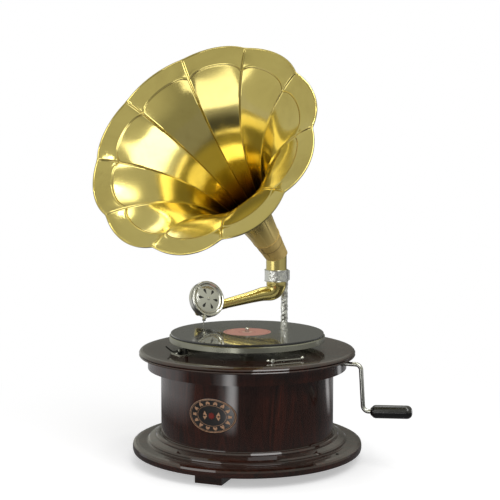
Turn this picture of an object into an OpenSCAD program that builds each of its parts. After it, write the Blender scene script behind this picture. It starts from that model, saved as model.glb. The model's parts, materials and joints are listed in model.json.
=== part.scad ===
// Table gramophone with a ten-petal horn, a round wooden case and a spring motor.
// Millimetres. The origin is on the table under the turntable spindle, +Z is up,
// -Y is the front with the oval plaque, +X is the crank side and +Y carries the horn.

/* [Case] */
// Height of the three foot blocks
foot_h = 17; // [12:1:24]
// Radius out to the foot blocks' outer faces
foot_r = 168; // [160:1:172]
// Width of a foot block
foot_w = 44; // [30:1:50]
// How far the plinth moulding stands out beyond the drum
plinth_out = 46.7; // [42:0.1:52]
// Height of the plinth moulding
plinth_h = 28; // [24:1:34]
// Outer radius of the drum
drum_r = 141.1; // [139:0.1:144]
// Wall of the drum
drum_wall = 6; // [4:0.5:8]
// Height of the drum from the plinth to the board
drum_h = 126; // [122:1:140]
// Thickness of the base board
base_t = 8; // [6:1:10]
// How far the band below the board stands out beyond the drum
band_out = 21.2; // [18:0.1:25]
// Height of the band
band_h = 19.7; // [16:0.1:24]
// How far the top board stands out beyond the band
board_out = 14.2; // [12:0.1:18]
// Thickness of the top board
board_t = 11; // [9:0.5:13]
// Width of the oval plaque
plaque_w = 80; // [60:1:90]
// Height of the oval plaque
plaque_h = 53; // [40:1:60]
// Thickness of the plaque
plaque_t = 0.8; // [0.5:0.1:1.5]

/* [Turntable] */
// Radius of the platter
platter_r = 127; // [120:0.5:130]
// Depth of the platter's rim
platter_rim_h = 9; // [6:0.5:11]
// Sheet thickness of the platter
platter_t = 1.5; // [1:0.1:2.5]
// Gap between the board and the platter's rim
platter_gap = 13; // [11:0.5:16]
// Thickness of the felt mat
mat_t = 1.2; // [0.8:0.1:2]
// Thickness of the record
record_t = 2.4; // [1.8:0.1:3]
// Radius of the record
record_r = 125; // [115:0.5:126]
// Radius of the record's paper label
label_r = 39; // [34:0.5:45]
// Radius of the spindle pin
pin_r = 3.6; // [3:0.05:3.8]
// How far the pin stands above the record
pin_h = 7; // [5:0.5:9]

/* [Crank] */
// Radius of the crank rod
rod_r = 3.5; // [3:0.1:3.6]
// Distance from the spindle out to the crank arm
crank_reach = 192.5; // [190:0.5:205]
// Length of the crank arm
crank_arm = 75.2; // [60:0.2:90]
// Bend radius of the crank rod
crank_bend = 9; // [7:0.5:12]
// Radius of the handle
handle_r = 10.5; // [8:0.5:13]
// Length of the handle
handle_l = 65.6; // [50:0.2:80]
// Rounding of the handle's outer end
grip_round = 8; // [3:0.5:8]
// Lean of the crank arm and the handle away from square
crank_lean = 3.5; // [0:0.5:6]

/* [Horn] */
// Number of petals
petals = 10; // [10:1:10]
// Rim radius at the seams, to the outside of the rim wire
horn_r = 181.2; // [160:0.2:190]
// How far a petal stands out beyond the seams at the rim
horn_scallop = 7.8; // [5:0.1:10]
// How far a petal's rim curls back at its middle
horn_dip = 4.5; // [3:0.1:6]
// How flat a petal is across inside the crease, from a round bell at 0 to flat sheets at 0.055
horn_flat = 0.055; // [0:0.005:0.055]
// Depth over which a petal turns from its scallop to the flat sheet
flat_d = 45; // [30:1:80]
// Width of the curled flange outside the crease
flange_w = 21; // [15:0.5:26]
// Depth of the crease below the rim
crease_d = 9.5; // [7:0.5:12]
// Length of the bell along its axis
bell_l = 276; // [250:1:300]
// Radius of the bell at its narrow end
throat_r = 22.9; // [21:0.1:25]
// Depth over which the flare falls to a third
flare_d = 92; // [80:1:100]
// Sag of the bell's axis at its narrow end
bell_sag = 10; // [5:0.5:14]
// Thickness of the brass sheet
horn_wall = 1; // [0.8:0.1:1.5]
// Radius of the wire in the rim
rim_wire_r = 1.6; // [1.2:0.1:2.2]
// Height of the seam ribs inside the bell
seam_h = 1.1; // [0.6:0.1:1.6]
// Half width of a seam rib
seam_w = 2; // [1.5:0.1:3]
// Length of the neck between the bell and the elbow
neck_l = 54.2; // [45:0.2:65]
// Outer radius of the elbow tube
elbow_r = 18; // [16:0.5:19]
// Height of the elbow's corner above the collar
elbow_rise = 25.8; // [24:0.1:40]
// Tilt of the bell above level
horn_tilt = 32.7; // [25:0.1:40]
// Turn of the horn away from the front
horn_turn = 6.35; // [0:0.05:15]
// Angle of the first seam round the bell
seam_start = 9.23; // [0:0.01:36]

/* [Horn support] */
// Distance from the spindle back to the horn and tone arm pivot
pivot_y = 145; // [142:0.5:150]
// Height of the collar above the board
leg_h = 93.1; // [84:0.1:100]
// Height of the collar
collar_h = 20.7; // [17:0.1:24]
// Outer radius of the collar
collar_r = 20.5; // [19.5:0.1:23]
// Radius of the support leg
leg_r = 5.5; // [4:0.1:7]

/* [Tone arm and soundbox] */
// Radius of the tone arm where it leaves the elbow
arm_r = 11.5; // [10:0.1:13]
// Radius of the tone arm at the soundbox
arm_end_r = 8.4; // [7.5:0.05:9]
// Length of the tone arm from the pivot, level
arm_l = 126; // [120:1:130]
// Turn of the tone arm from straight ahead
arm_turn = 57; // [45:0.5:60]
// Height of the tone arm's far end above the record
arm_end_h = 22.3; // [20:0.1:25]
// Wall of the tone arm
arm_wall = 1.2; // [0.8:0.1:2]
// Radius of the soundbox
box_r = 31; // [27:0.5:33]
// Thickness of the soundbox's shell
box_t = 8; // [6:0.5:10]

/* [Motor] */
// Distance from the spindle to the spring barrel
barrel_x = 62; // [61:0.5:64]
// Outer radius of the spring barrel
barrel_r = 33; // [28:0.5:34]
// Sheet thickness of the two motor plates
plate_t = 3; // [2:0.5:3]
// Space between the motor plates
plate_gap = 61; // [58:1:66]
// Module of the barrel gear and its pinion
gear_m1 = 1; // [1:0.01:1.02]
// Module of the second wheel and the spindle pinion
gear_m2 = 0.8; // [0.8:0.01:0.84]
// Module of the winding bevel gears
bevel_m = 1; // [0.9:0.02:1.04]
// Running clearance of a shaft in its bearing
run = 0.05; // [0.03:0.01:0.08]

/* [Levers] */
// How far inside the drum's face the speed lever's pivot stands
speed_in = 2.1; // [-2:0.1:4]
// Length of the speed lever
speed_l = 48; // [40:1:55]
// Radius from the spindle to the brake's pivot
brake_r = 113.6; // [112:0.2:115]

/* [Hidden] */
$fn = 64;
gap = 0.3;              // what stays between two bodies that only come close
cut = 1;                // how far a cutting solid runs past a face
plinth_top = foot_h + plinth_h;
plinth_r = drum_r + plinth_out;
band_r = drum_r + band_out;
board_r = band_r + board_out;
board_low = plinth_top + drum_h;
board_top = board_low + board_t;
band_low = board_low - band_h;
rim_low = board_top + platter_gap;
platter_top = rim_low + platter_rim_h;
mat_top = platter_top + mat_t;
record_top = mat_top + record_t;
pin_top = record_top + pin_h;
drum_in = drum_r - drum_wall;
collar_low = board_top + leg_h;
collar_top = collar_low + collar_h;
seat_t = 3;             // bottom plate of the collar
seat_top = collar_low + seat_t;
fix_r = 2;              // radius of every wood screw's shank
motor_recess = 3.5;     // how deep the motor plate lies in the board
recess_top = board_low + motor_recess;
bed_low = recess_top - plate_t;
low_top = bed_low - plate_gap;
low_low = low_top - plate_t;
axle_z = board_low - 5; // height of the winding shaft
shaft_r = 4;            // winding shaft, barrel arbor and spindle below the platter
thin_r = 2;             // second arbor

function unit(v) = v / norm(v);
function turn_z(v, a) = [v.x * cos(a) - v.y * sin(a), v.x * sin(a) + v.y * cos(a), v.z];
function polar(r, a, z = 0) = [r * cos(a), r * sin(a), z];

// A round bar of radius r from p to q
module bar(p, q, r, r2 = -1) {
    v = q - p;
    translate(p)
        rotate([0, acos(v.z / norm(v)), atan2(v.y, v.x)])
            cylinder(r1 = r, r2 = r2 < 0 ? r : r2, h = norm(v));
}

// A closed mesh between an outer and an inner grid of points, rows by columns.
// A grid that goes right round closes on itself.
module skin(outer, inner, closed = false) {
    rows = len(outer);
    cols = len(outer[0]);
    points = [for (row = outer) each row, for (row = inner) each row];
    base = rows * cols;
    last = closed ? cols - 1 : cols - 2;
    walls = [for (i = [0:rows - 2], j = [0:last]) let (
            a = i * cols + j, b = i * cols + (j + 1) % cols, c = b + cols, d = a + cols)
        each [[a, b, c], [a, c, d], [base + a, base + c, base + b], [base + a, base + d, base + c]]];
    ends = [for (i = [0, rows - 1], j = [0:last]) let (
            a = i * cols + j, b = i * cols + (j + 1) % cols)
        each i == 0 ? [[a, base + b, b], [a, base + a, base + b]]
                    : [[a, b, base + b], [a, base + b, base + a]]];
    sides = closed ? [] : [for (i = [0:rows - 2], j = [0, cols - 1]) let (
            a = i * cols + j, d = a + cols)
        each j == 0 ? [[a, d, base + d], [a, base + d, base + a]]
                    : [[a, base + d, d], [a, base + a, base + d]]];
    polyhedron(points = points, faces = concat(walls, ends, sides));
}

// A spur gear outline: straight-flanked teeth with room to run
function tooth_points(teeth, m, tip = 0.85, root = 1.2) = let (
        rp = teeth * m / 2, half = 360 / teeth / 4,
        rt = rp + tip * m, rr = rp - root * m)
    [for (i = [0:teeth - 1]) let (a = i * 360 / teeth)
        each [[rr, a - 1.35 * half], [rp, a - 0.86 * half], [rt, a - 0.34 * half],
              [rt, a + 0.34 * half], [rp, a + 0.86 * half], [rr, a + 1.35 * half]]];
function to_xy(list) = [for (q = list) [q[0] * cos(q[1]), q[0] * sin(q[1])]];

// Case

foot_in = 118;          // inner radius of the plinth ring and of the foot blocks

module foot_blocks() {
    color("#2a1410") for (k = [0:2]) rotate(-90 + 120 * k)
        translate([foot_in + 6, -foot_w / 2, 0])
            cube([foot_r - foot_in - 6, foot_w, foot_h]);
}

// Outline of the plinth: a rounded rim and a flat flange, then steps and a bead by the drum
plinth_rim = [[-0.8, 0], [0, 3], [0, 8], [-0.8, 11], [-4.8, 13], [-9.8, 13.8], [-22.8, 14.3]];
plinth_bead = [[21.9, 14.8], [21.4, 16], [21.4, 18], [18.9, 20], [14.9, 21.5], [10.9, 23], [8.9, 23.5],
    [8.9, 25], [7.4, 27.4], [4.9, 28], [2.4, 27.6], [1.5, 26.8], [0, 26.8], [-0.5, 28]];
module plinth_ring() {
    color("#3a1712") rotate_extrude() polygon(concat([[foot_in, foot_h]],
        [for (s = plinth_rim) [plinth_r + s[0], foot_h + s[1] * plinth_h / 28]],
        [for (s = plinth_bead) [drum_r + s[0], foot_h + s[1] * plinth_h / 28]],
        [[foot_in, plinth_top]]));
}

module base_board() {
    color("#4a2a1c") translate([0, 0, foot_h]) cylinder(r = foot_in, h = base_t);
}

hole_r = rod_r + 0.7;   // hole for the crank rod through drum and band
module case_drum() {
    color("#3a1712") difference() {
        translate([0, 0, plinth_top]) cylinder(r = drum_r, h = drum_h, $fn = 128);
        translate([0, 0, plinth_top - cut]) cylinder(r = drum_in, h = drum_h + 2 * cut);
        bar([drum_in - 9, 0, axle_z], [drum_r + 9, 0, axle_z], hole_r);
    }
}

module case_band() {
    color("#3a1712") difference() {
        translate([0, 0, band_low]) cylinder(r = band_r, h = band_h);
        translate([0, 0, band_low - cut]) cylinder(r = drum_r, h = band_h + 2 * cut);
        bar([drum_r - 9, 0, axle_z], [band_r + 9, 0, axle_z], hole_r);
    }
}

// Outline of the board's edge, from the eased top edge down over two beads
board_edge = [[-14, 0], [-6, 0.5], [-2.5, 1.6], [-0.9, 3.2], [0, 5], [-0.9, 6.2], [-2.2, 6.9],
    [-0.7, 7.7], [0, 9], [-0.9, 10.3], [-3, 11]];
function recess_r() = drum_in - 7;
leg_at = turn_z([14.5, 18.8, 0], 20.5) + [0, pivot_y, 0];
leg_foot = [leg_at.x, pivot_y + 10, 0];
leg_foot_l = 38;
leg_foot_w = 26;
leg_screws = [for (s = [[-8, -13], [8, -13], [0, -2]]) leg_foot + [s[0], s[1], 0]];
bed_x = [-48, 108];
bed_y = [-66, 48];
bed_screws = [[-40, 20, 0], [-40, -50, 0], [50, 42, 0], [50, -60, 0]];
speed_r = drum_r - speed_in;
speed_a = -53;          // where round the board the speed lever's pivot is
speed_at = polar(speed_r, speed_a);
brake_turn = -129;
module top_board() {
    color("#3a1712") difference() {
        rotate_extrude($fn = 128) polygon(concat([[0, board_low], [0, board_top]],
            [for (s = board_edge) [board_r + s[0], board_top - s[1] * board_t / 11]]));
        translate([0, 0, board_low - cut]) cylinder(r = recess_r(), h = motor_recess + cut);
        translate([0, 0, board_low]) cylinder(r = shaft_r + 4, h = board_t + cut);
        translate(speed_at + [0, 0, board_low - cut]) cylinder(r = 14, h = motor_recess + cut);
        translate(speed_at + [0, 0, board_low]) cylinder(r = 2 + run, h = board_t + cut);
        for (q = leg_screws) translate([q.x, q.y, board_top - 7]) cylinder(r = fix_r, h = 7 + cut);
        for (q = bed_screws) translate([q.x, q.y, board_low]) cylinder(r = fix_r, h = motor_recess + 5);
    }
}

// A bare oval plate that follows the drum
plaque_z = plinth_top + 54;
module plaque() {
    color("#1c1714") intersection() {
        difference() {
            translate([0, 0, plaque_z - plaque_h]) cylinder(r = drum_r + plaque_t, h = 2 * plaque_h, $fn = 128);
            translate([0, 0, plaque_z - plaque_h - cut])
                cylinder(r = drum_r, h = 2 * plaque_h + 2 * cut, $fn = 128);
        }
        translate([0, -drum_r + 20, plaque_z]) rotate([90, 0, 0])
            linear_extrude(40) polygon([for (i = [0:71])
                [plaque_w / 2 * cos(i * 5), plaque_h / 2 * sin(i * 5)]]);
    }
}

module crank_escutcheon() {
    color("silver") difference() {
        bar([band_r - 3, 0, axle_z], [band_r + 2, 0, axle_z], board_low - axle_z - gap);
        bar([band_r - 9, 0, axle_z], [band_r + 9, 0, axle_z], rod_r + run);
        cylinder(r = band_r, h = 2 * board_top, $fn = 512);
    }
}

// A countersunk wood screw standing at q with its head up or down
module wood_screw(q, up = 1, grip = 4, bite = 6) {
    translate(q) mirror([0, 0, up > 0 ? 0 : 1]) {
        translate([0, 0, -grip - bite]) cylinder(r = fix_r, h = grip + bite);
        cylinder(r1 = fix_r + 1.8, r2 = fix_r + 1, h = 1.4);
    }
}
leg_foot_t = 4;
module board_screws() {
    color("silver") {
        for (q = leg_screws) wood_screw([q.x, q.y, board_top + leg_foot_t], 1, leg_foot_t, 6);
        for (q = bed_screws) wood_screw([q.x, q.y, bed_low], -1, plate_t, 4);
    }
}

// Horn support

boss_r = 9.5;
module support_leg() {
    color("#c8c8c4") difference() {
        union() {
            translate([leg_foot.x - leg_foot_w / 2, leg_foot.y - leg_foot_l / 2, board_top])
                cube([leg_foot_w, leg_foot_l, leg_foot_t]);
            bar(leg_at + [0, 0, board_top + leg_foot_t], leg_at + [0, 0, board_top + 12], leg_r + 2, leg_r);
            bar(leg_at + [0, 0, board_top + leg_foot_t], leg_at + [0, 0, collar_low], leg_r);
        }
        for (q = leg_screws) translate([q.x, q.y, board_top - cut]) cylinder(r = fix_r, h = 9);
    }
}

spigot_r = 13.5;        // tone arm spigot in the collar's bottom plate
module horn_collar() {
    color("#d0d0cc") difference() {
        union() {
            translate([0, pivot_y, collar_low]) cylinder(r = collar_r, h = collar_h);
            translate(leg_at + [0, 0, collar_low]) cylinder(r = boss_r, h = collar_h - 4);
        }
        translate([0, pivot_y, collar_low - cut]) cylinder(r = spigot_r + run, h = collar_h);
        translate([0, pivot_y, seat_top]) cylinder(r = elbow_r + run, h = collar_h);
    }
}

// Motor frame

pinion_teeth = 12;      // on the second arbor and on the spindle
barrel_teeth = 72;
second_teeth = 50;
second_a = let (
        d1 = (pinion_teeth + barrel_teeth) * gear_m1 / 2, d2 = (pinion_teeth + second_teeth) * gear_m2 / 2)
    acos((d2 * d2 + barrel_x * barrel_x - d1 * d1) / (2 * d2 * barrel_x));
second_at = polar((pinion_teeth + second_teeth) * gear_m2 / 2, second_a);
to_barrel = atan2(-second_at.y, barrel_x - second_at.x);
gov_a = -50;            // where round the spindle the worm meets its wheel
gov_r = 20;             // distance from the spindle to the governor shaft
gov_z = low_top + 19.5;
gov_dir = polar(1, gov_a - 90);
gov_at = polar(gov_r, gov_a, gov_z);
gov_shaft_r = 1.5;
bear_in = -13;          // places of the two governor bearings along the shaft
bear_out = 52;
pillar_at = [[-40, 38, 0], [-42, -22, 0], [100, 38, 0], [100, -58, 0]];
click_at = [barrel_x, -24, 0];
wind_bear_x = 92;       // bearing of the winding shaft

module motor_plate(z) {
    translate([bed_x[0], bed_y[0], z]) cube([bed_x[1] - bed_x[0], bed_y[1] - bed_y[0], plate_t]);
}
module motor_bedplate() {
    color("#60625c") difference() {
        union() {
            motor_plate(bed_low);
            translate([wind_bear_x, -8, axle_z - 8]) cube([6, 16, bed_low - axle_z + 8]);
            bar(click_at + [0, 0, ratchet_z - 0.6], click_at + [0, 0, bed_low], 2);
        }
        translate([0, 0, bed_low - cut]) cylinder(r = shaft_r + run, h = plate_t + 2 * cut);
        translate([barrel_x, 0, bed_low - cut]) cylinder(r = shaft_r + run, h = plate_t + 2 * cut);
        translate([second_at.x, second_at.y, bed_low - cut]) cylinder(r = thin_r + run, h = plate_t + 2 * cut);
        translate([barrel_x + 8, -10, bed_low - cut]) cube([18, 20, plate_t + 2 * cut]);
        bar([wind_bear_x - 9, 0, axle_z], [wind_bear_x + 15, 0, axle_z], shaft_r + run);
        for (q = bed_screws) translate([q.x, q.y, bed_low - cut]) cylinder(r = fix_r, h = plate_t + 2 * cut);
    }
}
module motor_lower_plate() {
    color("#60625c") difference() {
        motor_plate(low_low);
        translate([0, 0, low_low - cut]) cylinder(r = 3 + run, h = plate_t + 2 * cut);
        translate([barrel_x, 0, low_low - cut]) cylinder(r = shaft_r + run, h = plate_t + 2 * cut);
        translate([second_at.x, second_at.y, low_low - cut]) cylinder(r = thin_r + run, h = plate_t + 2 * cut);
    }
}
module motor_pillars() {
    color("#8a8a84") for (q = pillar_at) {
        translate([q.x, q.y, low_top]) cylinder(r = 3.5, h = plate_gap);
        translate([q.x, q.y, low_low - 3]) cylinder(r = 5, h = 3, $fn = 6);
    }
}
module governor_bearings() {
    color("#b08d3c") for (s = [bear_in, bear_out]) difference() {
        translate([gov_at.x, gov_at.y, 0]) rotate(gov_a - 90)
            translate([s, -4, low_top]) cube([3, 8, gov_z - low_top + 4]);
        bar(gov_at + gov_dir * (s - 3), gov_at + gov_dir * (s + 6), gov_shaft_r + run);
    }
}

// Winding work on the barrel arbor

ratchet_z = low_top + 42;
ratchet_t = 2.5;
ratchet_r = 12;
module click() {
    color("#8a8a84") {
        difference() {
            union() {
                translate(click_at + [0, 0, ratchet_z]) cylinder(r = 4, h = ratchet_t);
                translate([0, 0, ratchet_z]) linear_extrude(ratchet_t) polygon([
                    [click_at.x - 3.5, click_at.y - 1], [click_at.x - 12, click_at.y + 9],
                    [click_at.x - 9.5, click_at.y + 15.6], [click_at.x - 7.6, click_at.y + 10],
                    [click_at.x + 2, click_at.y + 3]]);
            }
            translate(click_at + [0, 0, ratchet_z - cut]) cylinder(r = 2 + run, h = ratchet_t + 2 * cut);
        }
        translate([click_at.x + 3.6, click_at.y - 1.5, ratchet_z]) cube([9, 0.6, ratchet_t]);
    }
}
bevel_p = 12;           // teeth of the winding pinion and wheel
bevel_w = 30;
bevel_far = bevel_w * bevel_m / 2;
bevel_low = bevel_p * bevel_m / 2;
bevel_keep = 0.7;       // inner end of a bevel tooth as a share of its outer end
// Outline of a bevel gear on the flat plane of its outer end, at dist from the cones' tip
function bevel_points(teeth, pitch, dist, slant) = let (half = 360 / teeth / 4,
        rt = dist * tan(pitch + slant), rr = dist * tan(pitch - 1.25 * slant), rp = dist * tan(pitch))
    [for (i = [0:teeth - 1]) let (a = i * 360 / teeth)
        each [[rr, a - 1.3 * half], [rp, a - 0.8 * half], [rt, a - 0.3 * half],
              [rt, a + 0.3 * half], [rp, a + 0.8 * half], [rr, a + 1.3 * half]]];
bevel_slant = atan(0.8 * bevel_m / norm([bevel_far, bevel_low]));
module winding_wheel() {
    color("#b08d3c") translate([barrel_x, 0, axle_z - bevel_low]) difference() {
        union() {
            rotate(180 / bevel_w) linear_extrude(bevel_low * (1 - bevel_keep), scale = bevel_keep)
                polygon(to_xy(bevel_points(bevel_w, atan(bevel_w / bevel_p), bevel_low, bevel_slant)));
            translate([0, 0, -3.5]) cylinder(r = bevel_far - 3, h = 3.5);
        }
        translate([0, 0, -9]) cylinder(r = shaft_r, h = 20);
    }
}
module winding_shaft() {
    color("#9a9a94") difference() {
        union() {
            translate([barrel_x + bevel_far, 0, axle_z]) rotate([0, -90, 0])
                linear_extrude(bevel_far * (1 - bevel_keep), scale = bevel_keep)
                    polygon(to_xy(bevel_points(bevel_p, atan(bevel_p / bevel_w), bevel_far, bevel_slant)));
            bar([barrel_x + bevel_far, 0, axle_z], [wind_bear_x + 24, 0, axle_z], shaft_r);
            bar([wind_bear_x - 3, 0, axle_z], [wind_bear_x - gap, 0, axle_z], shaft_r + 1);
            bar([wind_bear_x + 9, 0, axle_z], [wind_bear_x + 24, 0, axle_z], shaft_r + 1);
        }
        bar([wind_bear_x + 10, 0, axle_z], [wind_bear_x + 30, 0, axle_z], rod_r);
    }
}
barrel_low = low_top + 3;
gear1_top = low_top + 40;
gear1_t = 4;
module barrel_arbor() {
    color("#9a9a94") translate([barrel_x, 0, low_low]) cylinder(r = shaft_r, h = bed_low + plate_t - low_low);
}
module ratchet_wheel() {
    color("#8a8a84") translate([barrel_x, 0, ratchet_z]) difference() {
        linear_extrude(ratchet_t) polygon(to_xy([for (i = [0:17])
            each [[ratchet_r - 2, i * 20], [ratchet_r, i * 20 + 2]]]));
        translate([0, 0, -cut]) cylinder(r = shaft_r, h = ratchet_t + 2 * cut);
    }
}

// Spring barrel

module spring_barrel() {
    color("#b08d3c") translate([barrel_x, 0, 0]) difference() {
        union() {
            translate([0, 0, barrel_low + 2]) cylinder(r = barrel_r, h = gear1_top - barrel_low - 2);
            translate([0, 0, gear1_top - gear1_t]) rotate(to_barrel + 180 + 180 / barrel_teeth)
                linear_extrude(gear1_t) polygon(to_xy(tooth_points(barrel_teeth, gear_m1)));
        }
        translate([0, 0, barrel_low - cut]) cylinder(r = barrel_r - 1.5, h = gear1_top - barrel_low - 1);
        translate([0, 0, barrel_low]) cylinder(r = shaft_r + run, h = 99);
    }
}
module barrel_cover() {
    color("#b08d3c") translate([barrel_x, 0, barrel_low]) difference() {
        cylinder(r = barrel_r, h = 2);
        translate([0, 0, -cut]) cylinder(r = shaft_r + run, h = 2 + 2 * cut);
    }
}
spring_turns = 7;
module mainspring() {
    inner = shaft_r + 3;
    pitch = (barrel_r - 2.5 - inner) / spring_turns;
    color("#5a6068") translate([barrel_x, 0, barrel_low + 4])
        linear_extrude(gear1_top - barrel_low - 10) polygon(concat(
            [for (i = [0:10:spring_turns * 360]) polarxy(inner + pitch * i / 360, i)],
            [for (i = [spring_turns * 360:-10:0]) polarxy(inner + pitch * i / 360 + 0.9, i)]));
}
function polarxy(r, a) = [r * cos(a), r * sin(a)];

// Wheels between barrel and spindle

second_z = gear1_top + 1;
second_t = 3;
module second_arbor() {
    color("#9a9a94") translate([second_at.x, second_at.y, 0]) {
        translate([0, 0, low_low]) cylinder(r = thin_r, h = bed_low + plate_t - low_low);
        translate([0, 0, gear1_top - gear1_t - 1]) rotate(to_barrel)
            linear_extrude(gear1_t + 1.5) polygon(to_xy(tooth_points(pinion_teeth, gear_m1)));
    }
}
module second_wheel() {
    color("#b08d3c") translate([second_at.x, second_at.y, second_z]) difference() {
        rotate(second_a + 180 + 180 / second_teeth) linear_extrude(second_t)
            polygon(to_xy(tooth_points(second_teeth, gear_m2, 0.7)));
        translate([0, 0, -cut]) cylinder(r = thin_r, h = second_t + 2 * cut);
    }
}

// Turntable

platter_hub_z = rim_low + 1;
waist_r = pin_r - 0.3;   // spindle inside the record
module turntable_spindle() {
    color("#c8c8c8") {
        translate([0, 0, low_low]) cylinder(r = 3, h = plate_t + 2);
        translate([0, 0, low_low + plate_t + 1]) cylinder(r = shaft_r, h = mat_top - low_low - plate_t - 1);
        rotate_extrude() polygon([[0, mat_top - 1], [waist_r, mat_top - 1], [waist_r, record_top],
            [pin_r, record_top + 0.3], [pin_r, pin_top - 1.6], [pin_r - 0.5, pin_top - 0.6],
            [pin_r - 1.6, pin_top], [0, pin_top]]);
        translate([0, 0, second_z - 0.5]) rotate(second_a) linear_extrude(second_t + 1)
            polygon(to_xy(tooth_points(12, gear_m2)));
    }
}
worm_teeth = 40;
worm_starts = 4;
worm_m = 0.8;
worm_t = 5;
worm_pitch_r = gov_r - worm_teeth * worm_m / 2;
worm_lead = worm_starts * PI * worm_m;
worm_slope = atan(worm_lead / (2 * PI * worm_pitch_r));
worm_l = 14;
module worm_wheel() {
    twist = -worm_t * tan(worm_slope) / (worm_teeth * worm_m / 2) * 180 / PI;
    color("#b08d3c") translate([0, 0, gov_z - worm_t / 2]) difference() {
        rotate(gov_a + 180 / worm_teeth + twist / 2)
            linear_extrude(worm_t, twist = twist, slices = 3)
                polygon(to_xy(tooth_points(worm_teeth, worm_m, 0.7, 1.1)));
        translate([0, 0, -cut]) cylinder(r = shaft_r, h = worm_t + 2 * cut);
    }
}
module platter() {
    color("#b4b4a8") rotate_extrude($fn = 128) polygon([
        [shaft_r, platter_hub_z], [12, platter_hub_z], [12, platter_top - platter_t],
        [platter_r - platter_t - 1, platter_top - platter_t],
        [platter_r - platter_t, platter_top - platter_t - 1],
        [platter_r - platter_t, rim_low], [platter_r, rim_low],
        [platter_r, platter_top - 1.2], [platter_r - 1.2, platter_top], [shaft_r, platter_top]]);
}
module platter_mat() {
    color("#2e2e2c") translate([0, 0, platter_top]) difference() {
        cylinder(r = record_r - 1, h = mat_t, $fn = 128);
        translate([0, 0, -cut]) cylinder(r = shaft_r, h = mat_t + 2 * cut);
    }
}
label_t = 0.3;
module record() {
    color("#181818") rotate_extrude($fn = 128) polygon([
        [pin_r + run, mat_top], [record_r - 0.6, mat_top], [record_r, mat_top + 0.6],
        [record_r, record_top - 0.6], [record_r - 0.6, record_top], [label_r, record_top],
        [label_r, record_top - label_t], [pin_r + run, record_top - label_t]]);
}
module record_label() {
    color("#cc8878") translate([0, 0, record_top - label_t]) difference() {
        cylinder(r = label_r, h = label_t);
        translate([0, 0, -cut]) cylinder(r = pin_r + run, h = label_t + 2 * cut);
    }
}

// Governor: its shaft runs along gov_dir, placed by the distance from the worm's middle

module on_governor(s = 0) {
    translate(gov_at + gov_dir * s) rotate([0, 90, gov_a - 90]) children();
}
module governor_shaft() {
    twist = -360 * worm_l / worm_lead;
    color("#9a9a94") {
        on_governor(bear_in - 3) cylinder(r = gov_shaft_r, h = bear_out - bear_in + 9);
        on_governor(-worm_l / 2) rotate([0, 0, 180 + twist / 2])
            linear_extrude(worm_l, twist = twist, slices = 24)
                rotate(worm_face)
                    polygon(to_xy(tooth_points(worm_starts, 2 * worm_pitch_r / worm_starts, 0.3, 0.46)));
    }
}
worm_face = 90;         // turns a thread to face the worm wheel at mid length
weight_s = 26;
module governor_springs() {
    color("#b8b8b0") difference() {
        union() {
            on_governor(12) cylinder(r = 4.5, h = 3);
            on_governor(39) cylinder(r = 4.5, h = 3);
            for (k = [0:2]) on_governor(0) rotate(120 * k) {
                bar([3.4, 0, 14], [8.5, 0, weight_s], 0.9);
                bar([8.5, 0, weight_s], [3.4, 0, 40], 0.9);
                translate([9, 0, weight_s]) sphere(r = 4);
            }
        }
        on_governor(9) cylinder(r = gov_shaft_r, h = 40);
    }
}
disc_s = 42;
disc_t = 2.5;
module governor_disc() {
    color("#b08d3c") difference() {
        on_governor(disc_s) cylinder(r = 12, h = disc_t);
        on_governor(disc_s - cut) cylinder(r = gov_shaft_r, h = disc_t + 2 * cut);
    }
}

// Crank

handle_x = crank_reach + crank_bend + 4;
handle_z = axle_z - crank_arm;
top_bend = [crank_reach - crank_bend, 0, axle_z - crank_bend];
pin_l = handle_l - grip_round;          // pin that the handle turns on
rod_lap = 0.3;          // how far a straight of the rod runs over the end of a bend
// A bend a little thinner than the straights that take its ends in
module rod_bend(at, from, a) {
    translate(at) rotate([90, 0, 0]) rotate(from)
        rotate_extrude(angle = a) translate([crank_bend, 0]) circle(r = rod_r - 0.02);
}
// What hangs from the upper bend leans outwards from its middle
module leaning() {
    translate(top_bend) rotate([0, -crank_lean, 0]) translate(-top_bend) children();
}
module crank_rod() {
    color("#b8b8b4") {
        bar([wind_bear_x + 10, 0, axle_z], [top_bend.x + rod_lap, 0, axle_z], rod_r);
        rod_bend(top_bend, crank_lean, 90 - crank_lean);
        leaning() {
            bar([crank_reach, 0, top_bend.z + rod_lap],
                [crank_reach, 0, handle_z + crank_bend - rod_lap], rod_r);
            rod_bend([crank_reach + crank_bend, 0, handle_z + crank_bend], 180, 90);
            bar([crank_reach + crank_bend - rod_lap, 0, handle_z], [handle_x - gap, 0, handle_z], rod_r);
            bar([handle_x - gap, 0, handle_z], [handle_x + pin_l, 0, handle_z], rod_r - 0.7);
        }
    }
}
module crank_handle() {
    color("#141414") leaning() difference() {
        translate([handle_x, 0, handle_z]) rotate([0, 90, 0]) rotate_extrude() polygon(concat(
            [[0, 0], [handle_r - 4.5, 0], [handle_r - 0.8, 4.5], [handle_r, 7]],
            [for (a = [0:15:90]) [handle_r - grip_round * (1 - cos(a)), pin_l + grip_round * sin(a)]],
            [[0, handle_l]]));
        bar([handle_x - cut, 0, handle_z], [handle_x + pin_l + 1, 0, handle_z], rod_r - 0.7 + run);
    }
}

// Tone arm: s is the level distance from the pivot towards the needle

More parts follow.
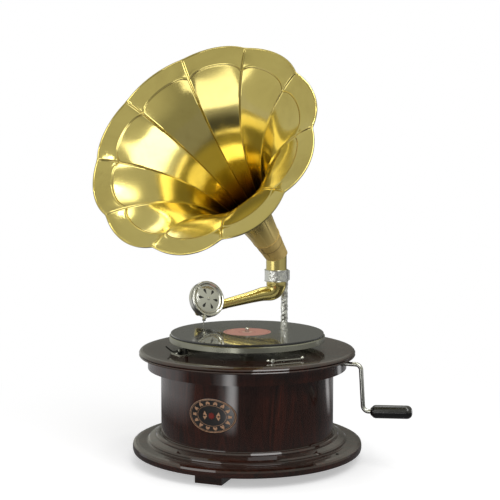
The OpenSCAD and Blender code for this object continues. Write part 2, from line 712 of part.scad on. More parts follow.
arm_top_r = 17.5;
bend_top = collar_low - 7.2;
corner_z = collar_low - 16.6;
arm_end_z = record_top + arm_end_h;
arm_fall = atan((corner_z - arm_end_z) / arm_l);
sleeve_s = 90;          // where the swivel elbow starts
function at_arm(s, z) = [-s * sin(arm_turn), pivot_y - s * cos(arm_turn), z];
function arm_axis(s) = at_arm(s, corner_z - s * tan(arm_fall));
arm_out = at_arm(1, 0) - at_arm(0, 0);
arm_side = [cos(arm_turn), -sin(arm_turn), 0];
bend_steps = 8;
function bend_r(k) = arm_top_r + (arm_r - arm_top_r) * pow(k / bend_steps, 0.8);
// Rings of the tone arm's bend: they fan out from its inner corner
function bend_ring(k, inset) = let (
        a = (90 - arm_fall) * k / bend_steps, r = bend_r(k), c = r + 1.5 * k / bend_steps,
        mid = at_arm(arm_top_r - c * cos(a), bend_top - c * sin(a)),
        across = -arm_out * cos(a) - [0, 0, 1] * sin(a))
    [for (j = [0:23]) mid + (r - inset) * (cos(j * 15) * across - sin(j * 15) * arm_side)];
// A ring square to the arm's straight part
function arm_ring(s, r) = let (
        across = -arm_out * sin(arm_fall) - [0, 0, 1] * cos(arm_fall))
    [for (j = [0:23]) arm_axis(s) + r * (cos(j * 15) * across - sin(j * 15) * arm_side)];
spigot_l = 8;
lap = 0.3;              // how far joined parts of the tone arm run into each other
arm_spigot_r = arm_end_r - 1.5;
module tone_arm() {
    color("#b09c44") {
        skin([for (k = [0:bend_steps]) bend_ring(k, 0), arm_ring(sleeve_s, arm_end_r)],
            [for (k = [0:bend_steps]) bend_ring(k, arm_wall),
                arm_ring(sleeve_s, arm_end_r - arm_wall - 1.5)], true);
        difference() {
            union() {
                translate([0, pivot_y, bend_top - lap])
                    cylinder(r = arm_top_r + lap, h = collar_low - gap - bend_top + lap);
                translate([0, pivot_y, bend_top]) cylinder(r = spigot_r, h = seat_top + gap + 2 - bend_top);
                translate([0, pivot_y, seat_top + gap]) cylinder(r = elbow_r - 2, h = 2);
            }
            translate([0, pivot_y, bend_top - cut]) cylinder(r = spigot_r - 2, h = 20);
        }
        difference() {
            bar(arm_axis(sleeve_s - 2.6), arm_axis(sleeve_s + spigot_l), arm_spigot_r);
            bar(arm_axis(sleeve_s - 4), arm_axis(sleeve_s + spigot_l + 1), arm_spigot_r - arm_wall - lap);
        }
    }
}

// Soundbox: its own frame has z along the axis out of the face, x down in the plane of the face

box_az = -35.3;
box_up = 19.4;
needle_turn = -24.5;
chuck_l = 9;
needle_l = 10.5;
needle_reach = box_r + chuck_l + needle_l;
box_z = record_top + 0.2 + needle_reach * sin(90 - box_up) * cos(needle_turn);
needle_drop = 0.7;      // how far the needle's tip lies behind the face's rim
box_at = [-90.9, 56, box_z + needle_drop * sin(box_up)];
module in_box() {
    translate(box_at) rotate([0, 90 - box_up, box_az]) children();
}
box_back = -18;
box_front = -4;         // front of the shell, where the face ring starts
box_out = turn_z([sin(90 - box_up), 0, cos(90 - box_up)], box_az);
module soundbox_elbow() {
    elbow_out_r = arm_end_r + 0.2;
    end = arm_axis(sleeve_s + 55);
    start = arm_axis(sleeve_s + gap);
    v = end - start;
    back = box_at + box_out * box_back;
    root = arm_axis(sleeve_s + 44);
    color("#b09c44") difference() {
        union() {
            translate(start) rotate([0, acos(v.z / norm(v)), atan2(v.y, v.x)])
                rotate_extrude() polygon(concat(
                    [[0, 0], [elbow_out_r, 0]],
                    [for (a = [0:15:90]) [elbow_out_r - 5 + 5 * cos(a), norm(v) - 5 + 5 * sin(a)]],
                    [[0, norm(v)]]));
            bar(root, back - box_out * 4, 7.4);
            bar(back - box_out * 9, back + box_out * cut, 7.8);
        }
        bar(arm_axis(sleeve_s - 2), arm_axis(sleeve_s + spigot_l + 0.5), arm_spigot_r + run);
        in_box() translate([0, 0, box_back]) cylinder(r = box_r + gap, h = 2 * box_r);
    }
}
module soundbox_shell() {
    color("#c8c8c4") in_box() rotate_extrude() polygon([
        [0, box_back], [14, box_back], [box_r - 5, box_back + 2], [box_r - 1.2, box_back + 3],
        [box_r, box_back + 4.2], [box_r, box_front], [box_r - 3, box_front],
        [box_r - 3, box_front - 2], [0, box_front - 4]]);
}
module soundbox_diaphragm() {
    color("#50504c") in_box() difference() {
        translate([0, 0, box_front - 2]) cylinder(r = box_r - 3, h = 1.6);
        translate([0, 0, box_front - 1.4]) cylinder(r = box_r - 6, h = 4);
    }
}
slots = 6;
module soundbox_face() {
    color("#d0d0cc") in_box() difference() {
        rotate_extrude() polygon([
            [0, box_front], [box_r, box_front], [box_r, -1.4], [box_r - 0.8, -0.3], [box_r - 2.2, 0],
            [box_r - 3.8, -0.5], [box_r - 6, -2.2], [box_r - 9, -3.1], [8, -2.9], [5.5, -2.2],
            [4.6, -1], [0, -0.6]]);
        for (k = [0:slots - 1]) rotate(60 * k + 15) translate([9, -1.5, box_front - cut])
            cube([8, 3, 5]);
    }
}
module stylus_bar() {
    color("#c8c8c4") in_box() rotate(needle_turn) difference() {
        union() {
            bar([box_r + gap, 0, -3.4], [box_r + chuck_l, 0, -needle_drop - 1.2], 3);
            translate([box_r, -4.5, box_front - 3]) cube([3, 9, 4]);
            bar([box_r + 5.5, 0, -2], [box_r + 5.5, 0, 5], 1.6);
        }
        cylinder(r = box_r, h = 20, center = true);
    }
}
module needle() {
    tip = [needle_reach, 0, -needle_drop];
    root = [box_r + chuck_l, 0, -needle_drop - 1.2 + 0.2];
    mid = root + (tip - root) * 0.6;
    color("#d8d8d4") in_box() rotate(needle_turn) {
        bar(root, mid, 0.8);
        bar(mid, tip, 0.8, 0.15);
    }
}

// Horn: its own frame has z along the bell's axis out of the mouth, x level, and the
// mouth's middle at the origin. A depth d lies at z = -d.

petal_a = 360 / petals;
wire_out = 2 * rim_wire_r;
sheet_r = horn_r - wire_out;            // edge of the sheet at a seam
crease_r = horn_r - wire_out - flange_w;
flare_k = (crease_r - throat_r) / (1 - exp(-(bell_l - crease_d) / flare_d));
neck_bend = atan(3 * bell_sag / bell_l);
mouth_to_corner = [0, -bell_sag - neck_l * sin(neck_bend), -bell_l - neck_l * cos(neck_bend)];
corner = [0, pivot_y, collar_top + elbow_rise];
module in_horn() {
    translate(corner) rotate([0, 0, -horn_turn]) rotate([90 - horn_tilt, 0, 0])
        translate(-mouth_to_corner) children();
}
function sag(d) = bell_sag * pow(d / bell_l, 3);
function sag_slope(d) = atan(3 * bell_sag * d * d / pow(bell_l, 3));
// Radius at a seam for a depth d
function flare(d) = d < crease_d
    ? sheet_r - flange_w * pow(d / crease_d, 0.8)
    : throat_r + flare_k * (exp(-(d - crease_d) / flare_d) - exp(-(bell_l - crease_d) / flare_d));
flange_rows = 3;
bell_rows = 14;
row_depths = concat([for (i = [0:flange_rows - 1]) crease_d * i / flange_rows],
    [for (i = [0:bell_rows]) crease_d + (bell_l - crease_d) * pow(i / bell_rows, 1.3)]);
function arch(u) = 1 - pow(2 * u - 1, 2);
// How far a petal stands out at its middle beyond its seams: out at the rim, in where it is flat
function petal_swell(d, r) = let (
        s = min(1, max(0, (d - 5) / flat_d)), t = s * s * (3 - 2 * s))
    horn_scallop * pow(r / sheet_r, 1.5) * (1 - t) - horn_flat * (r - throat_r) * t;
// A point of the sheet's inner face: u runs from 0 to 1 across a petal, lift is outwards
function sheet_point(d, u, from, lift) = let (
        r = flare(d), step = 0.5, dr = flare(d + step) - flare(max(0, d - step)),
        dd = d + step - max(0, d - step), len = norm([dr, dd]),
        a = from + petal_a * u,
        rr = r + petal_swell(d, r) * arch(u) + lift * dd / len,
        depth = d + (d < crease_d ? horn_dip * arch(u) * (1 - d / crease_d) : 0) - lift * dr / len,
        slope = sag_slope(d), y = rr * sin(a))
    [rr * cos(a), -sag(d) + y * cos(slope), -depth - y * sin(slope)];
// Places across a petal: a rib stands along both seams
function across(d) = let (w = seam_w / (flare(d) * petal_a * PI / 180))
    [0, w, 0.2, 0.4, 0.6, 0.8, 1 - w, 1];
function petal_grid(k, inner) = let (from = seam_start + petal_a * k)
    [for (d = row_depths) let (us = across(d))
        [for (j = [0:7]) sheet_point(d, us[j], from, inner ? (j == 0 || j == 7 ? -seam_h : 0) : horn_wall)]];
module horn_petal(k) {
    color("#b0a04b") in_horn() skin(petal_grid(k, false), petal_grid(k, true));
}

wire_sides = 8;
function rim_point(a) = let (u = (a - seam_start) / petal_a, f = u - floor(u), r = horn_r - rim_wire_r)
    [(r + horn_scallop * arch(f)) * cos(a), (r + horn_scallop * arch(f)) * sin(a), -horn_dip * arch(f) - 0.5];
module horn_rim() {
    steps = petals * 10;
    ring = [for (i = [0:steps - 1]) let (a = seam_start + i * 360 / steps, mid = rim_point(a))
        [for (j = [0:wire_sides - 1]) let (b = j * 360 / wire_sides)
            mid + rim_wire_r * [cos(b) * cos(a), cos(b) * sin(a), sin(b)]]];
    points = [for (row = ring) each row];
    n = len(ring);
    color("#c8b860") in_horn() polyhedron(points, [for (i = [0:n - 1], j = [0:wire_sides - 1]) let (
            a = i * wire_sides + j, b = i * wire_sides + (j + 1) % wire_sides,
            c = (i + 1) % n * wire_sides + (j + 1) % wire_sides, d = (i + 1) % n * wire_sides + j)
        each [[a, b, c], [a, c, d]]]);
}

// The plane where the neck meets the elbow tube tilts by half the angle between them
mitre = (90 - horn_tilt - neck_bend) / 2;
big = 120;
module mitre_side(up) {
    translate(corner) rotate([0, 0, -horn_turn]) rotate([mitre, 0, 0])
        translate([-big, -big, up ? 0 : -2 * big]) cube(2 * big);
}
tube_wall = 1.2;        // wall of the neck and of the elbow tube
neck_past = 14;         // how far the neck runs past the corner before it is cut
neck_joint = 0.1;       // where the neck starts behind the petals' ends
module horn_neck() {
    full_l = neck_l + neck_past;
    top_r = throat_r + horn_wall;
    low_r = elbow_r + 0.6;
    color("#9c8438") intersection() {
        in_horn() translate([0, -bell_sag, -bell_l]) rotate([180 - neck_bend, 0, 0])
            rotate_extrude() polygon([[top_r - tube_wall, neck_joint], [top_r, neck_joint],
                [low_r, full_l], [low_r - tube_wall, full_l]]);
        mitre_side(true);
    }
}
module horn_elbow() {
    color("#b0a04b") intersection() {
        difference() {
            translate([0, pivot_y, seat_top + gap]) cylinder(r = elbow_r, h = elbow_rise + collar_h + 12);
            translate([0, pivot_y, seat_top - cut])
                cylinder(r = elbow_r - tube_wall, h = elbow_rise + collar_h + 20);
        }
        mitre_side(false);
    }
}

// Levers on the board

brake_plate_t = 1.5;
pad_r = 119.5;          // middle of the brake pad, inside the platter's rim
pad_arm = [pad_r - brake_r, 12.5];      // from the brake's pivot to the pad
module brake_plate() {
    color("#c0c0bc") rotate(brake_turn) {
        translate([brake_r - 8, -15, board_top]) cube([26, 30, brake_plate_t]);
        translate([brake_r, 0, board_top + brake_plate_t]) cylinder(r = 2, h = 6.5);
        translate([brake_r, 0, board_top + brake_plate_t + 5]) cylinder(r = 3.4, h = 1.6);
        translate([brake_r + 5, -11, board_top + brake_plate_t]) cylinder(r = 2.2, h = 5.5);
    }
}
lever_z = board_top + brake_plate_t + gap;
finger = 1.1;           // radius of the brake lever's finger rod
finger_bend = [brake_r + 18, -13, lever_z + 1.8];
module brake_lever() {
    color("#3c3c3a") rotate(brake_turn) difference() {
        union() {
            translate([brake_r, 0, lever_z]) cylinder(r = 4.2, h = 2.5);
            translate([brake_r, -2, lever_z]) cube([14, 4, 2.5]);
            translate([brake_r, 0, lever_z]) rotate(atan2(pad_arm.y, pad_arm.x))
                translate([0, -2.5, 0]) cube([norm(pad_arm), 5, 2.5]);
            translate([pad_r - 2.5, pad_arm.y - 3, lever_z]) cube([5, 6, rim_low + 4 - lever_z]);
            bar([brake_r + 12, 1, lever_z + 1.4], finger_bend, finger);
            translate(finger_bend) sphere(r = finger + 0.1);
            bar(finger_bend, [brake_r + 27, -15.7, lever_z + 10], finger);
        }
        translate([brake_r, 0, lever_z - cut]) cylinder(r = 2 + run, h = 9);
    }
}
speed_turn = 44.8;
speed_low = board_top + 1.6;
module speed_lever() {
    color("#c8c8c4") translate(speed_at) rotate(speed_turn) difference() {
        union() {
            translate([0, 0, speed_low]) cylinder(r = 4.4, h = 2.8);
            translate([0, 0, speed_low + 2.8]) cylinder(r = 2.6, h = 1.4);
            translate([-8, -1.6, speed_low + 0.4]) cube([speed_l + 8, 3.2, 1.8]);
            translate([speed_l + 2, 0, speed_low + 2]) sphere(r = 3);
            translate([-8, 0, speed_low + 1.6]) sphere(r = 2.6);
        }
        translate([0, 0, speed_low - cut]) cylinder(r = 2, h = 2.8 + cut);
    }
}
drop_in = 12;           // how far inside the pivot the regulator's leg goes down
regulator_z = gov_z + 8;
pad_gap = 3;            // free room between the regulator's pad and the governor's disc
pad_t = 7;
module regulator_arm() {
    leg = polar(speed_r - drop_in, speed_a, 0);
    pad = [gov_at.x, gov_at.y, regulator_z] + gov_dir * (disc_s + disc_t + pad_gap);
    low = board_low + 0.8;
    color("#8a8a84") {
        translate(speed_at + [0, 0, low]) cylinder(r = 2, h = speed_low + 2.8 - low);
        rotate(speed_a) translate([speed_r - drop_in - 1, -2.6, low]) cube([drop_in + 1, 5.2, 2.2]);
        translate(leg + [0, 0, regulator_z - 2.2]) cylinder(r = 2, h = low + 2 - regulator_z + 2);
        bar(leg + [0, 0, regulator_z], pad + gov_dir * (pad_t - 1.4), 1.4);
        bar(pad, pad + gov_dir * pad_t, 3);
    }
}

foot_blocks();
plinth_ring();
base_board();
case_drum();
case_band();
top_board();
plaque();
crank_escutcheon();
board_screws();
support_leg();
horn_collar();
motor_bedplate();
motor_lower_plate();
motor_pillars();
governor_bearings();
click();
spring_barrel();
barrel_cover();
mainspring();
barrel_arbor();
winding_wheel();
ratchet_wheel();
winding_shaft();
crank_rod();
crank_handle();
second_arbor();
second_wheel();
turntable_spindle();
worm_wheel();
platter();
platter_mat();
record();
record_label();
governor_shaft();
governor_springs();
governor_disc();
tone_arm();
soundbox_elbow();
soundbox_shell();
soundbox_diaphragm();
soundbox_face();
stylus_bar();
needle();
for (k = [0:petals - 1]) horn_petal(k);
horn_rim();
horn_neck();
horn_elbow();
brake_plate();
brake_lever();
speed_lever();
regulator_arm();
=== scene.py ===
"""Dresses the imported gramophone: refined horn, tone arm and small fittings, finishes for every part, and the stage."""

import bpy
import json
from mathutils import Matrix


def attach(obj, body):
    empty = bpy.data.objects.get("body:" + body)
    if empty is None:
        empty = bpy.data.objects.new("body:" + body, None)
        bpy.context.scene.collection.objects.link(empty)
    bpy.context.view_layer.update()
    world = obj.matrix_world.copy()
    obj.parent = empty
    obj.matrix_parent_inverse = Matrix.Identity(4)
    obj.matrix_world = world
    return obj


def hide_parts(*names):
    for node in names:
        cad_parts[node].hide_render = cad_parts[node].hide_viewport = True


bl_info = {
    "name": "Gramophone dresser",
    "version": (1, 0, 0),
    "blender": (4, 5, 0),
    "location": "3D View > Sidebar > Gramophone",
    "description": "Builds the fine pieces and finishes of a horn gramophone around its packed solids",
    "category": "Object",
}

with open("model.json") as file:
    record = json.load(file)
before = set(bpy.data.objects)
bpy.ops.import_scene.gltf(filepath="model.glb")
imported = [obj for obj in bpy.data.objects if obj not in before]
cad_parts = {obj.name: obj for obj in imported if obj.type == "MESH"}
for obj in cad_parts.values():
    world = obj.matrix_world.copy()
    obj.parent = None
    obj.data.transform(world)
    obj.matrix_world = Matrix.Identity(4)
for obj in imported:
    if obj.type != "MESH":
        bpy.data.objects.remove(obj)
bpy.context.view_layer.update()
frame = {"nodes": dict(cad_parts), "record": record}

import json
from math import atan, atan2, cos, exp, hypot, pi, radians, sin, tan

import bpy
import numpy as np
from bpy.props import FloatProperty, FloatVectorProperty, IntProperty, PointerProperty
from mathutils import Vector

MM = 0.001


def tone(r, g, b):
    """A colour as it looks on a screen, 0 to 255, in the linear values that shaders take."""
    return tuple(((c / 255 + 0.055) / 1.055) ** 2.4 if c > 10 else c / 255 / 12.92 for c in (r, g, b))


# Sizes that repeat the solids', in millimetres

BOARD_TOP = 182.0
DRUM_R = 141.1
PLAQUE_Z = 99.0
RECORD_TOP = 207.6
PIVOT = np.array([0.0, 145.0, 0.0])
LEG_AT = np.array([7.0, 167.69, 0.0])
COLLAR_LOW = 275.1
COLLAR_H = 20.7
LIP = 0.3                    # what stays between pieces of different bodies


# Meshes

def put(name, verts, faces, body, slot, kind=None, stands_for=(), crease=35):
    """Makes a mesh piece from points in millimetres that rides on a body. kind is its finish, if not the slot's own."""
    mesh = bpy.data.meshes.new(name)
    mesh.from_pydata([tuple(float(c) * MM for c in v) for v in verts], [], [tuple(int(i) for i in f) for f in faces])
    mesh.validate()
    mesh.polygons.foreach_set("use_smooth", [True] * len(mesh.polygons))
    mesh.update()
    mesh.set_sharp_from_angle(angle=radians(crease))
    mesh.materials.append(finish(kind or slot))
    piece = bpy.data.objects.new(name, mesh)
    bpy.context.scene.collection.objects.link(piece)
    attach(piece, body)
    if stands_for:
        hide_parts(*stands_for)


def unit(v):
    """A vector's direction, at length 1."""
    v = np.asarray(v, float)
    return v / np.linalg.norm(v)


def around(count):
    """Angles of points spaced evenly round a circle."""
    return np.arange(count) * 2 * pi / count


def joined(parts):
    """Several (points, faces) as one."""
    verts, faces = [], []
    for v, f in parts:
        base = len(verts)
        verts += list(v)
        faces += [[i + base for i in face] for face in f]
    return verts, faces


def grid_faces(rows, cols, wrap_rows=False, wrap_cols=False, flip=False):
    """Four-sided faces between the points of a grid."""
    faces = []
    for i in range(rows if wrap_rows else rows - 1):
        for j in range(cols if wrap_cols else cols - 1):
            a, b = i * cols + j, i * cols + (j + 1) % cols
            c, d = (i + 1) % rows * cols + (j + 1) % cols, (i + 1) % rows * cols + j
            faces.append([a, d, c, b] if flip else [a, b, c, d])
    return faces


def tube_faces(rows, sides, closed=False):
    """Faces between rings of points, one after another, capped at both ends unless they close on themselves."""
    faces = grid_faces(rows, sides, closed, True)
    if not closed:
        faces.append(list(range(sides))[::-1])
        faces.append([(rows - 1) * sides + k for k in range(sides)])
    return faces


def frame_along(axis):
    """Two directions square to an axis."""
    axis = unit(axis)
    side = unit(np.cross(axis, [0, 0, 1] if abs(axis[2]) < 0.9 else [1, 0, 0]))
    return side, np.cross(axis, side)


def turned(profile, at, axis, sides):
    """A turned shape: profile is (radius, height) pairs along the axis from at."""
    at, axis = np.asarray(at, float), unit(axis)
    e1, e2 = frame_along(axis)
    verts = [at + axis * h + r * (cos(t) * e1 + sin(t) * e2)
             for r, h in profile for t in around(sides)]
    return verts, tube_faces(len(profile), sides)


def wire(points, radius, sides, closed=False):
    """A round wire through points. radius is one number or one for each point."""
    points = np.asarray(points, float)
    radius = np.broadcast_to(radius, len(points))
    if closed:
        along = np.roll(points, -1, 0) - np.roll(points, 1, 0)
    else:
        along = np.gradient(points, axis=0)
    along /= np.linalg.norm(along, axis=1)[:, None]
    side = frame_along(along[0])[0]
    verts = []
    for p, d, r in zip(points, along, radius):
        side = unit(side - d * (side @ d))
        up = np.cross(d, side)
        verts += [p + r * (cos(t) * side + sin(t) * up) for t in around(sides)]
    return verts, tube_faces(len(points), sides, closed)


def slotted_head(at, axis, r, h):
    """A domed screw head with a slot sunk across it."""
    at, axis = np.asarray(at, float), unit(axis)
    dome = turned([(r, 0), (r, h * 0.45), (r * 0.92, h * 0.72), (r * 0.72, h * 0.92), (r * 0.4, h), (0.01, h)],
                  at, axis, 24)
    e1, e2 = frame_along(axis)
    w, l = r * 0.12, r * 0.86
    ring = [at + axis * (h + 0.02) + x * e1 + y * e2 for x, y in ((-l, -w), (l, -w), (l, w), (-l, w))]
    return dome, (ring, [[0, 1, 2, 3]])


# The horn's shape, as in the solids, at a finer grain

PETALS = 10
PETAL_A = 360 / PETALS
HORN_R = 181.2
SCALLOP = 7.8                # what the middle of a petal's rim stands out beyond its seams
DIP = 4.5                    # what it lies behind them
FLAT = 0.055                 # share of the radius by which a petal is flatter than round
FLAT_FROM, FLAT_D = 5, 45.0  # depth at which that starts, and over which it comes in
FLANGE_W = 21.0
FLANGE_CURVE = 0.8
CREASE_D = 9.5
BELL_L = 276.0
THROAT_R = 22.9
FLARE_D = 92.0               # depth in which the bell narrows to about a third
SAG = 10.0                   # what the throat lies below the mouth's middle line
WALL = 1.0
WIRE_R = 1.6
NECK_L = 54.2
ELBOW_R = 18.0
TILT = 32.7                  # degrees that the horn looks up
TURN = 6.35                  # degrees that it looks to the crank's side
SEAM_START = 9.23            # degrees of the first seam
RIB_FULL_R = 120             # radius of the bell from which its ribs have their full width
BEAD_PAST = 1.6              # what the bead lies behind the crease
SHEET_R = HORN_R - 2 * WIRE_R
CREASE_R = SHEET_R - FLANGE_W
FLARE_K = (CREASE_R - THROAT_R) / (1 - exp(-(BELL_L - CREASE_D) / FLARE_D))
NECK_BEND = atan(3 * SAG / BELL_L)
MOUTH_TO_CORNER = np.array([0, -SAG - NECK_L * sin(NECK_BEND), -BELL_L - NECK_L * cos(NECK_BEND)])
CORNER = np.array([0, 145.0, COLLAR_LOW + COLLAR_H + 25.8])


def from_bell(points):
    """Points of the bell's own frame in the row's frame."""
    q = np.asarray(points, float) - MOUTH_TO_CORNER
    a, b = radians(90 - TILT), radians(-TURN)
    y = q[..., 1] * cos(a) - q[..., 2] * sin(a)
    z = q[..., 1] * sin(a) + q[..., 2] * cos(a)
    x = q[..., 0]
    return np.stack([x * cos(b) - y * sin(b), x * sin(b) + y * cos(b), z], -1) + CORNER


def flare(d):
    """Radius of the seams at depth d: the flange from the rim to the crease, then the bell."""
    d = np.asarray(d, float)
    rim = SHEET_R - FLANGE_W * np.power(np.clip(d, 0, None) / CREASE_D, FLANGE_CURVE)
    body = THROAT_R + FLARE_K * (np.exp(-(d - CREASE_D) / FLARE_D) - exp(-(BELL_L - CREASE_D) / FLARE_D))
    return np.where(d < CREASE_D, rim, body)


def arch(u):
    """0 at a petal's seams and 1 at its middle."""
    return 1 - (2 * u - 1) ** 2


def petal_swell(d, r):
    """How far a petal stands out at its middle beyond its seams: out at the rim, in where it is flat."""
    s = np.clip((d - FLAT_FROM) / FLAT_D, 0, 1)
    t = s * s * (3 - 2 * s)
    return SCALLOP * (r / SHEET_R) ** 1.5 * (1 - t) - FLAT * (r - THROAT_R) * t


def sheet(d, u, start, lift):
    """Points of a petal: depth d, place u across it, the angle of its first seam and the lift off the inner face."""
    step = 0.5
    low = np.clip(d - step, 0, None)
    dr, dd = flare(d + step) - flare(low), d + step - low
    length = np.hypot(dr, dd)
    r = flare(d)
    a = np.radians(start + PETAL_A * u)
    rr = r + petal_swell(d, r) * arch(u) + lift * dd / length
    depth = d + np.where(d < CREASE_D, DIP * arch(u) * (1 - d / CREASE_D), 0) - lift * dr / length
    slope = np.arctan(3 * SAG * d * d / BELL_L ** 3)
    y = rr * np.sin(a)
    return np.stack([rr * np.cos(a), -SAG * (d / BELL_L) ** 3 + y * np.cos(slope), -depth - y * np.sin(slope)], -1)


def petal_rows():
    """Depths of a petal's rows, close together where the crease and the throat are."""
    before, past, closer = 0.9, 5.5, 1.25
    flange = CREASE_D * (np.linspace(0, 1, 9)[:-1]) ** closer
    near = CREASE_D + np.linspace(-before, past, 13)
    body = CREASE_D + past + (BELL_L - CREASE_D - past) * np.linspace(0, 1, 44)[1:] ** closer
    return np.concatenate([flange[flange < near[0] - 0.2], near, body])


def petal_mesh(k, seam_h, crease_h):
    """Petal k, with half of a rib along each seam and a bead inside its crease."""
    start = SEAM_START + PETAL_A * k
    d = petal_rows()[:, None]
    arc = flare(d) * radians(PETAL_A)
    narrow = np.clip(flare(d) / RIB_FULL_R, 0.42, 1)
    edge = np.array([0, 0.35, 0.75, 1.15, 1.6, 2.2, 3.2])[None, :] * narrow / arc
    middle = edge[:, -1:] + (0.5 - edge[:, -1:]) * np.linspace(0, 1, 8)[None, 1:]
    half = np.concatenate([edge, middle], 1)
    u = np.concatenate([half, 1 - half[:, -2::-1]], 1)
    off = np.abs(2 * u - 1)
    back, over = 4.2, 7.0        # how far the crease lies back at a petal's corners, and over what depth
    corner = back * off ** 6 * np.exp(-((d - CREASE_D) / over) ** 2)
    depth = d + corner * (d > 0)
    from_seam = np.minimum(u, 1 - u) * arc / narrow
    top, half_w = 1.15, 0.6      # the rib's top, off the seam, and its half width
    seam = seam_h * narrow * (np.exp(-((from_seam - top) / half_w) ** 2) + 0.35 * np.exp(-(from_seam / 0.9) ** 2))
    bead = crease_h * np.exp(-((d - CREASE_D - BEAD_PAST) / 0.75) ** 2)
    inner = sheet(depth, u, start, -np.maximum(seam, bead))
    back_seam = 0.7 * narrow * np.exp(-(from_seam / 1.3) ** 2)
    outer = sheet(depth, u, start, WALL + back_seam)
    rows, cols = u.shape
    verts = np.concatenate([from_bell(outer).reshape(-1, 3), from_bell(inner).reshape(-1, 3)])
    n = rows * cols
    faces = grid_faces(rows, cols, flip=True)
    faces += [[i + n for i in f] for f in grid_faces(rows, cols)]
    for j in (0, cols - 1):
        for i in range(rows - 1):
            a, b = i * cols + j, (i + 1) * cols + j
            faces.append([a, b, b + n, a + n] if j else [b, a, a + n, b + n])
    for i in (0, rows - 1):
        for j in range(cols - 1):
            a, b = i * cols + j, i * cols + j + 1
            faces.append([b, a, a + n, b + n] if i else [a, b, b + n, a + n])
    return verts, faces


def rim_mesh():
    """The wire rolled into the rim, with a drop of solder at each seam."""
    steps = 32
    proud, drop_h, drop_w = 0.12, 0.5, 2.2
    points, radii = [], []
    for i in range(PETALS * steps):
        f = (i % steps) / steps
        a = radians(SEAM_START + PETAL_A * i / steps)
        r = HORN_R - WIRE_R + SCALLOP * arch(f)
        points.append([r * cos(a), r * sin(a), -DIP * arch(f) - 0.5])
        gap_to_seam = min(f, 1 - f) * radians(PETAL_A) * r
        radii.append(WIRE_R + proud + drop_h * exp(-(gap_to_seam / drop_w) ** 2))
    return wire(from_bell(points), radii, 14, True)


NECK_TOP = np.array([0, -SAG, -BELL_L])
NECK_AXIS = unit(MOUTH_TO_CORNER - NECK_TOP)


def neck_point(t, angle, lift):
    """A point on the neck: t from 0 at the bell to 1 at the elbow's corner, angle round it in degrees."""
    r = (THROAT_R + WALL) * (1 - t) + (ELBOW_R + 0.6) * t + lift
    side = unit(np.cross(NECK_AXIS, [1, 0, 0]))
    a = radians(angle)
    return from_bell(NECK_TOP + NECK_AXIS * NECK_L * t + r * (cos(a) * np.array([1, 0, 0]) + sin(a) * side))


# Tone arm, as in the solids

ARM_TURN = radians(57)
ARM_OUT = np.array([-sin(ARM_TURN), -cos(ARM_TURN), 0])
ARM_SIDE = np.array([cos(ARM_TURN), -sin(ARM_TURN), 0])
UP = np.array([0, 0, 1.0])
ARM_TOP_R, ARM_R, ARM_END_R = 17.5, 11.5, 8.4
BEND_TOP = COLLAR_LOW - 7.2
ARM_CORNER_Z = COLLAR_LOW - 16.6
ARM_END_Z = RECORD_TOP + 22.3
ARM_FALL = atan((ARM_CORNER_Z - ARM_END_Z) / 126)
SLEEVE_S = 90.0


def arm_axis(s):
    """The middle of the sloping tube, s out from the swivel in plan."""
    return PIVOT + ARM_OUT * s + UP * (ARM_CORNER_Z - s * tan(ARM_FALL))


def arm_ring(middle, across, r, sides):
    """A ring of points round the arm's middle line. across is where its first point lies."""
    return [middle + r * (cos(a) * across + sin(a) * ARM_SIDE) for a in around(sides)]


def tone_arm_mesh():
    """The tube under the collar, its bend and the taper down to the soundbox's sleeve."""
    sides, steps = 48, 30
    fuller = 1.6                 # what the bend's outer end stands out beyond the taper
    bend_end = 16                # where the taper starts, out from the swivel
    rings = [arm_ring(PIVOT + UP * (COLLAR_LOW - LIP), -ARM_OUT, ARM_TOP_R, sides)]
    for k in range(steps + 1):
        share = k / steps
        a = (pi / 2 - ARM_FALL) * share
        r = ARM_TOP_R + (ARM_R + fuller - ARM_TOP_R) * share
        c = r + 1.5 * share
        middle = PIVOT + ARM_OUT * (ARM_TOP_R - c * cos(a)) + UP * (BEND_TOP - c * sin(a))
        rings.append(arm_ring(middle, -ARM_OUT * cos(a) - UP * sin(a), r, sides))
    across = -ARM_OUT * sin(ARM_FALL) - UP * cos(ARM_FALL)
    for s in (26, 32, 38, 46, 54, 64, SLEEVE_S - 12, SLEEVE_S - 6, SLEEVE_S - 0.4, SLEEVE_S):
        past = s - bend_end
        r = ARM_R + (ARM_END_R - ARM_R) * past / (SLEEVE_S - bend_end) + fuller * max(0, 1 - past / 40) ** 2
        rings.append(arm_ring(arm_axis(s), across, r, sides))
    rings.append(arm_ring(arm_axis(SLEEVE_S), across, 5.0, sides))
    return [p for ring in rings for p in ring], tube_faces(len(rings), sides)


# Soundbox frame, as in the solids

BOX_R = 31.0
BOX_AZ, BOX_UP, NEEDLE_TURN = -35.3, 19.4, -24.5
BOX_REACH = BOX_R + 9 + 10.5
BOX_AT = np.array([-90.9, 56.0, RECORD_TOP + 0.2 + BOX_REACH * cos(radians(BOX_UP))
                   * cos(radians(NEEDLE_TURN)) + 0.7 * sin(radians(BOX_UP))])


def from_box(x, y, z):
    """A point of the soundbox's frame, z out of its face, x down along it."""
    tilt, az = radians(90 - BOX_UP), radians(BOX_AZ)
    px, pz = x * cos(tilt) + z * sin(tilt), -x * sin(tilt) + z * cos(tilt)
    return np.array([px * cos(az) - y * sin(az), px * sin(az) + y * cos(az), pz]) + BOX_AT


BOX_OUT = unit(from_box(0, 0, 1) - from_box(0, 0, 0))


# Shader helpers

def add(tree, kind, inputs=None, **settings):
    """Adds a shader node of a kind. inputs maps socket names or numbers to values or to other nodes' sockets."""
    node = tree.nodes.new("ShaderNode" + kind)
    for key, value in settings.items():
        setattr(node, key, value)
    for key, value in (inputs or {}).items():
        join(tree, value, node.inputs[key])
    return node


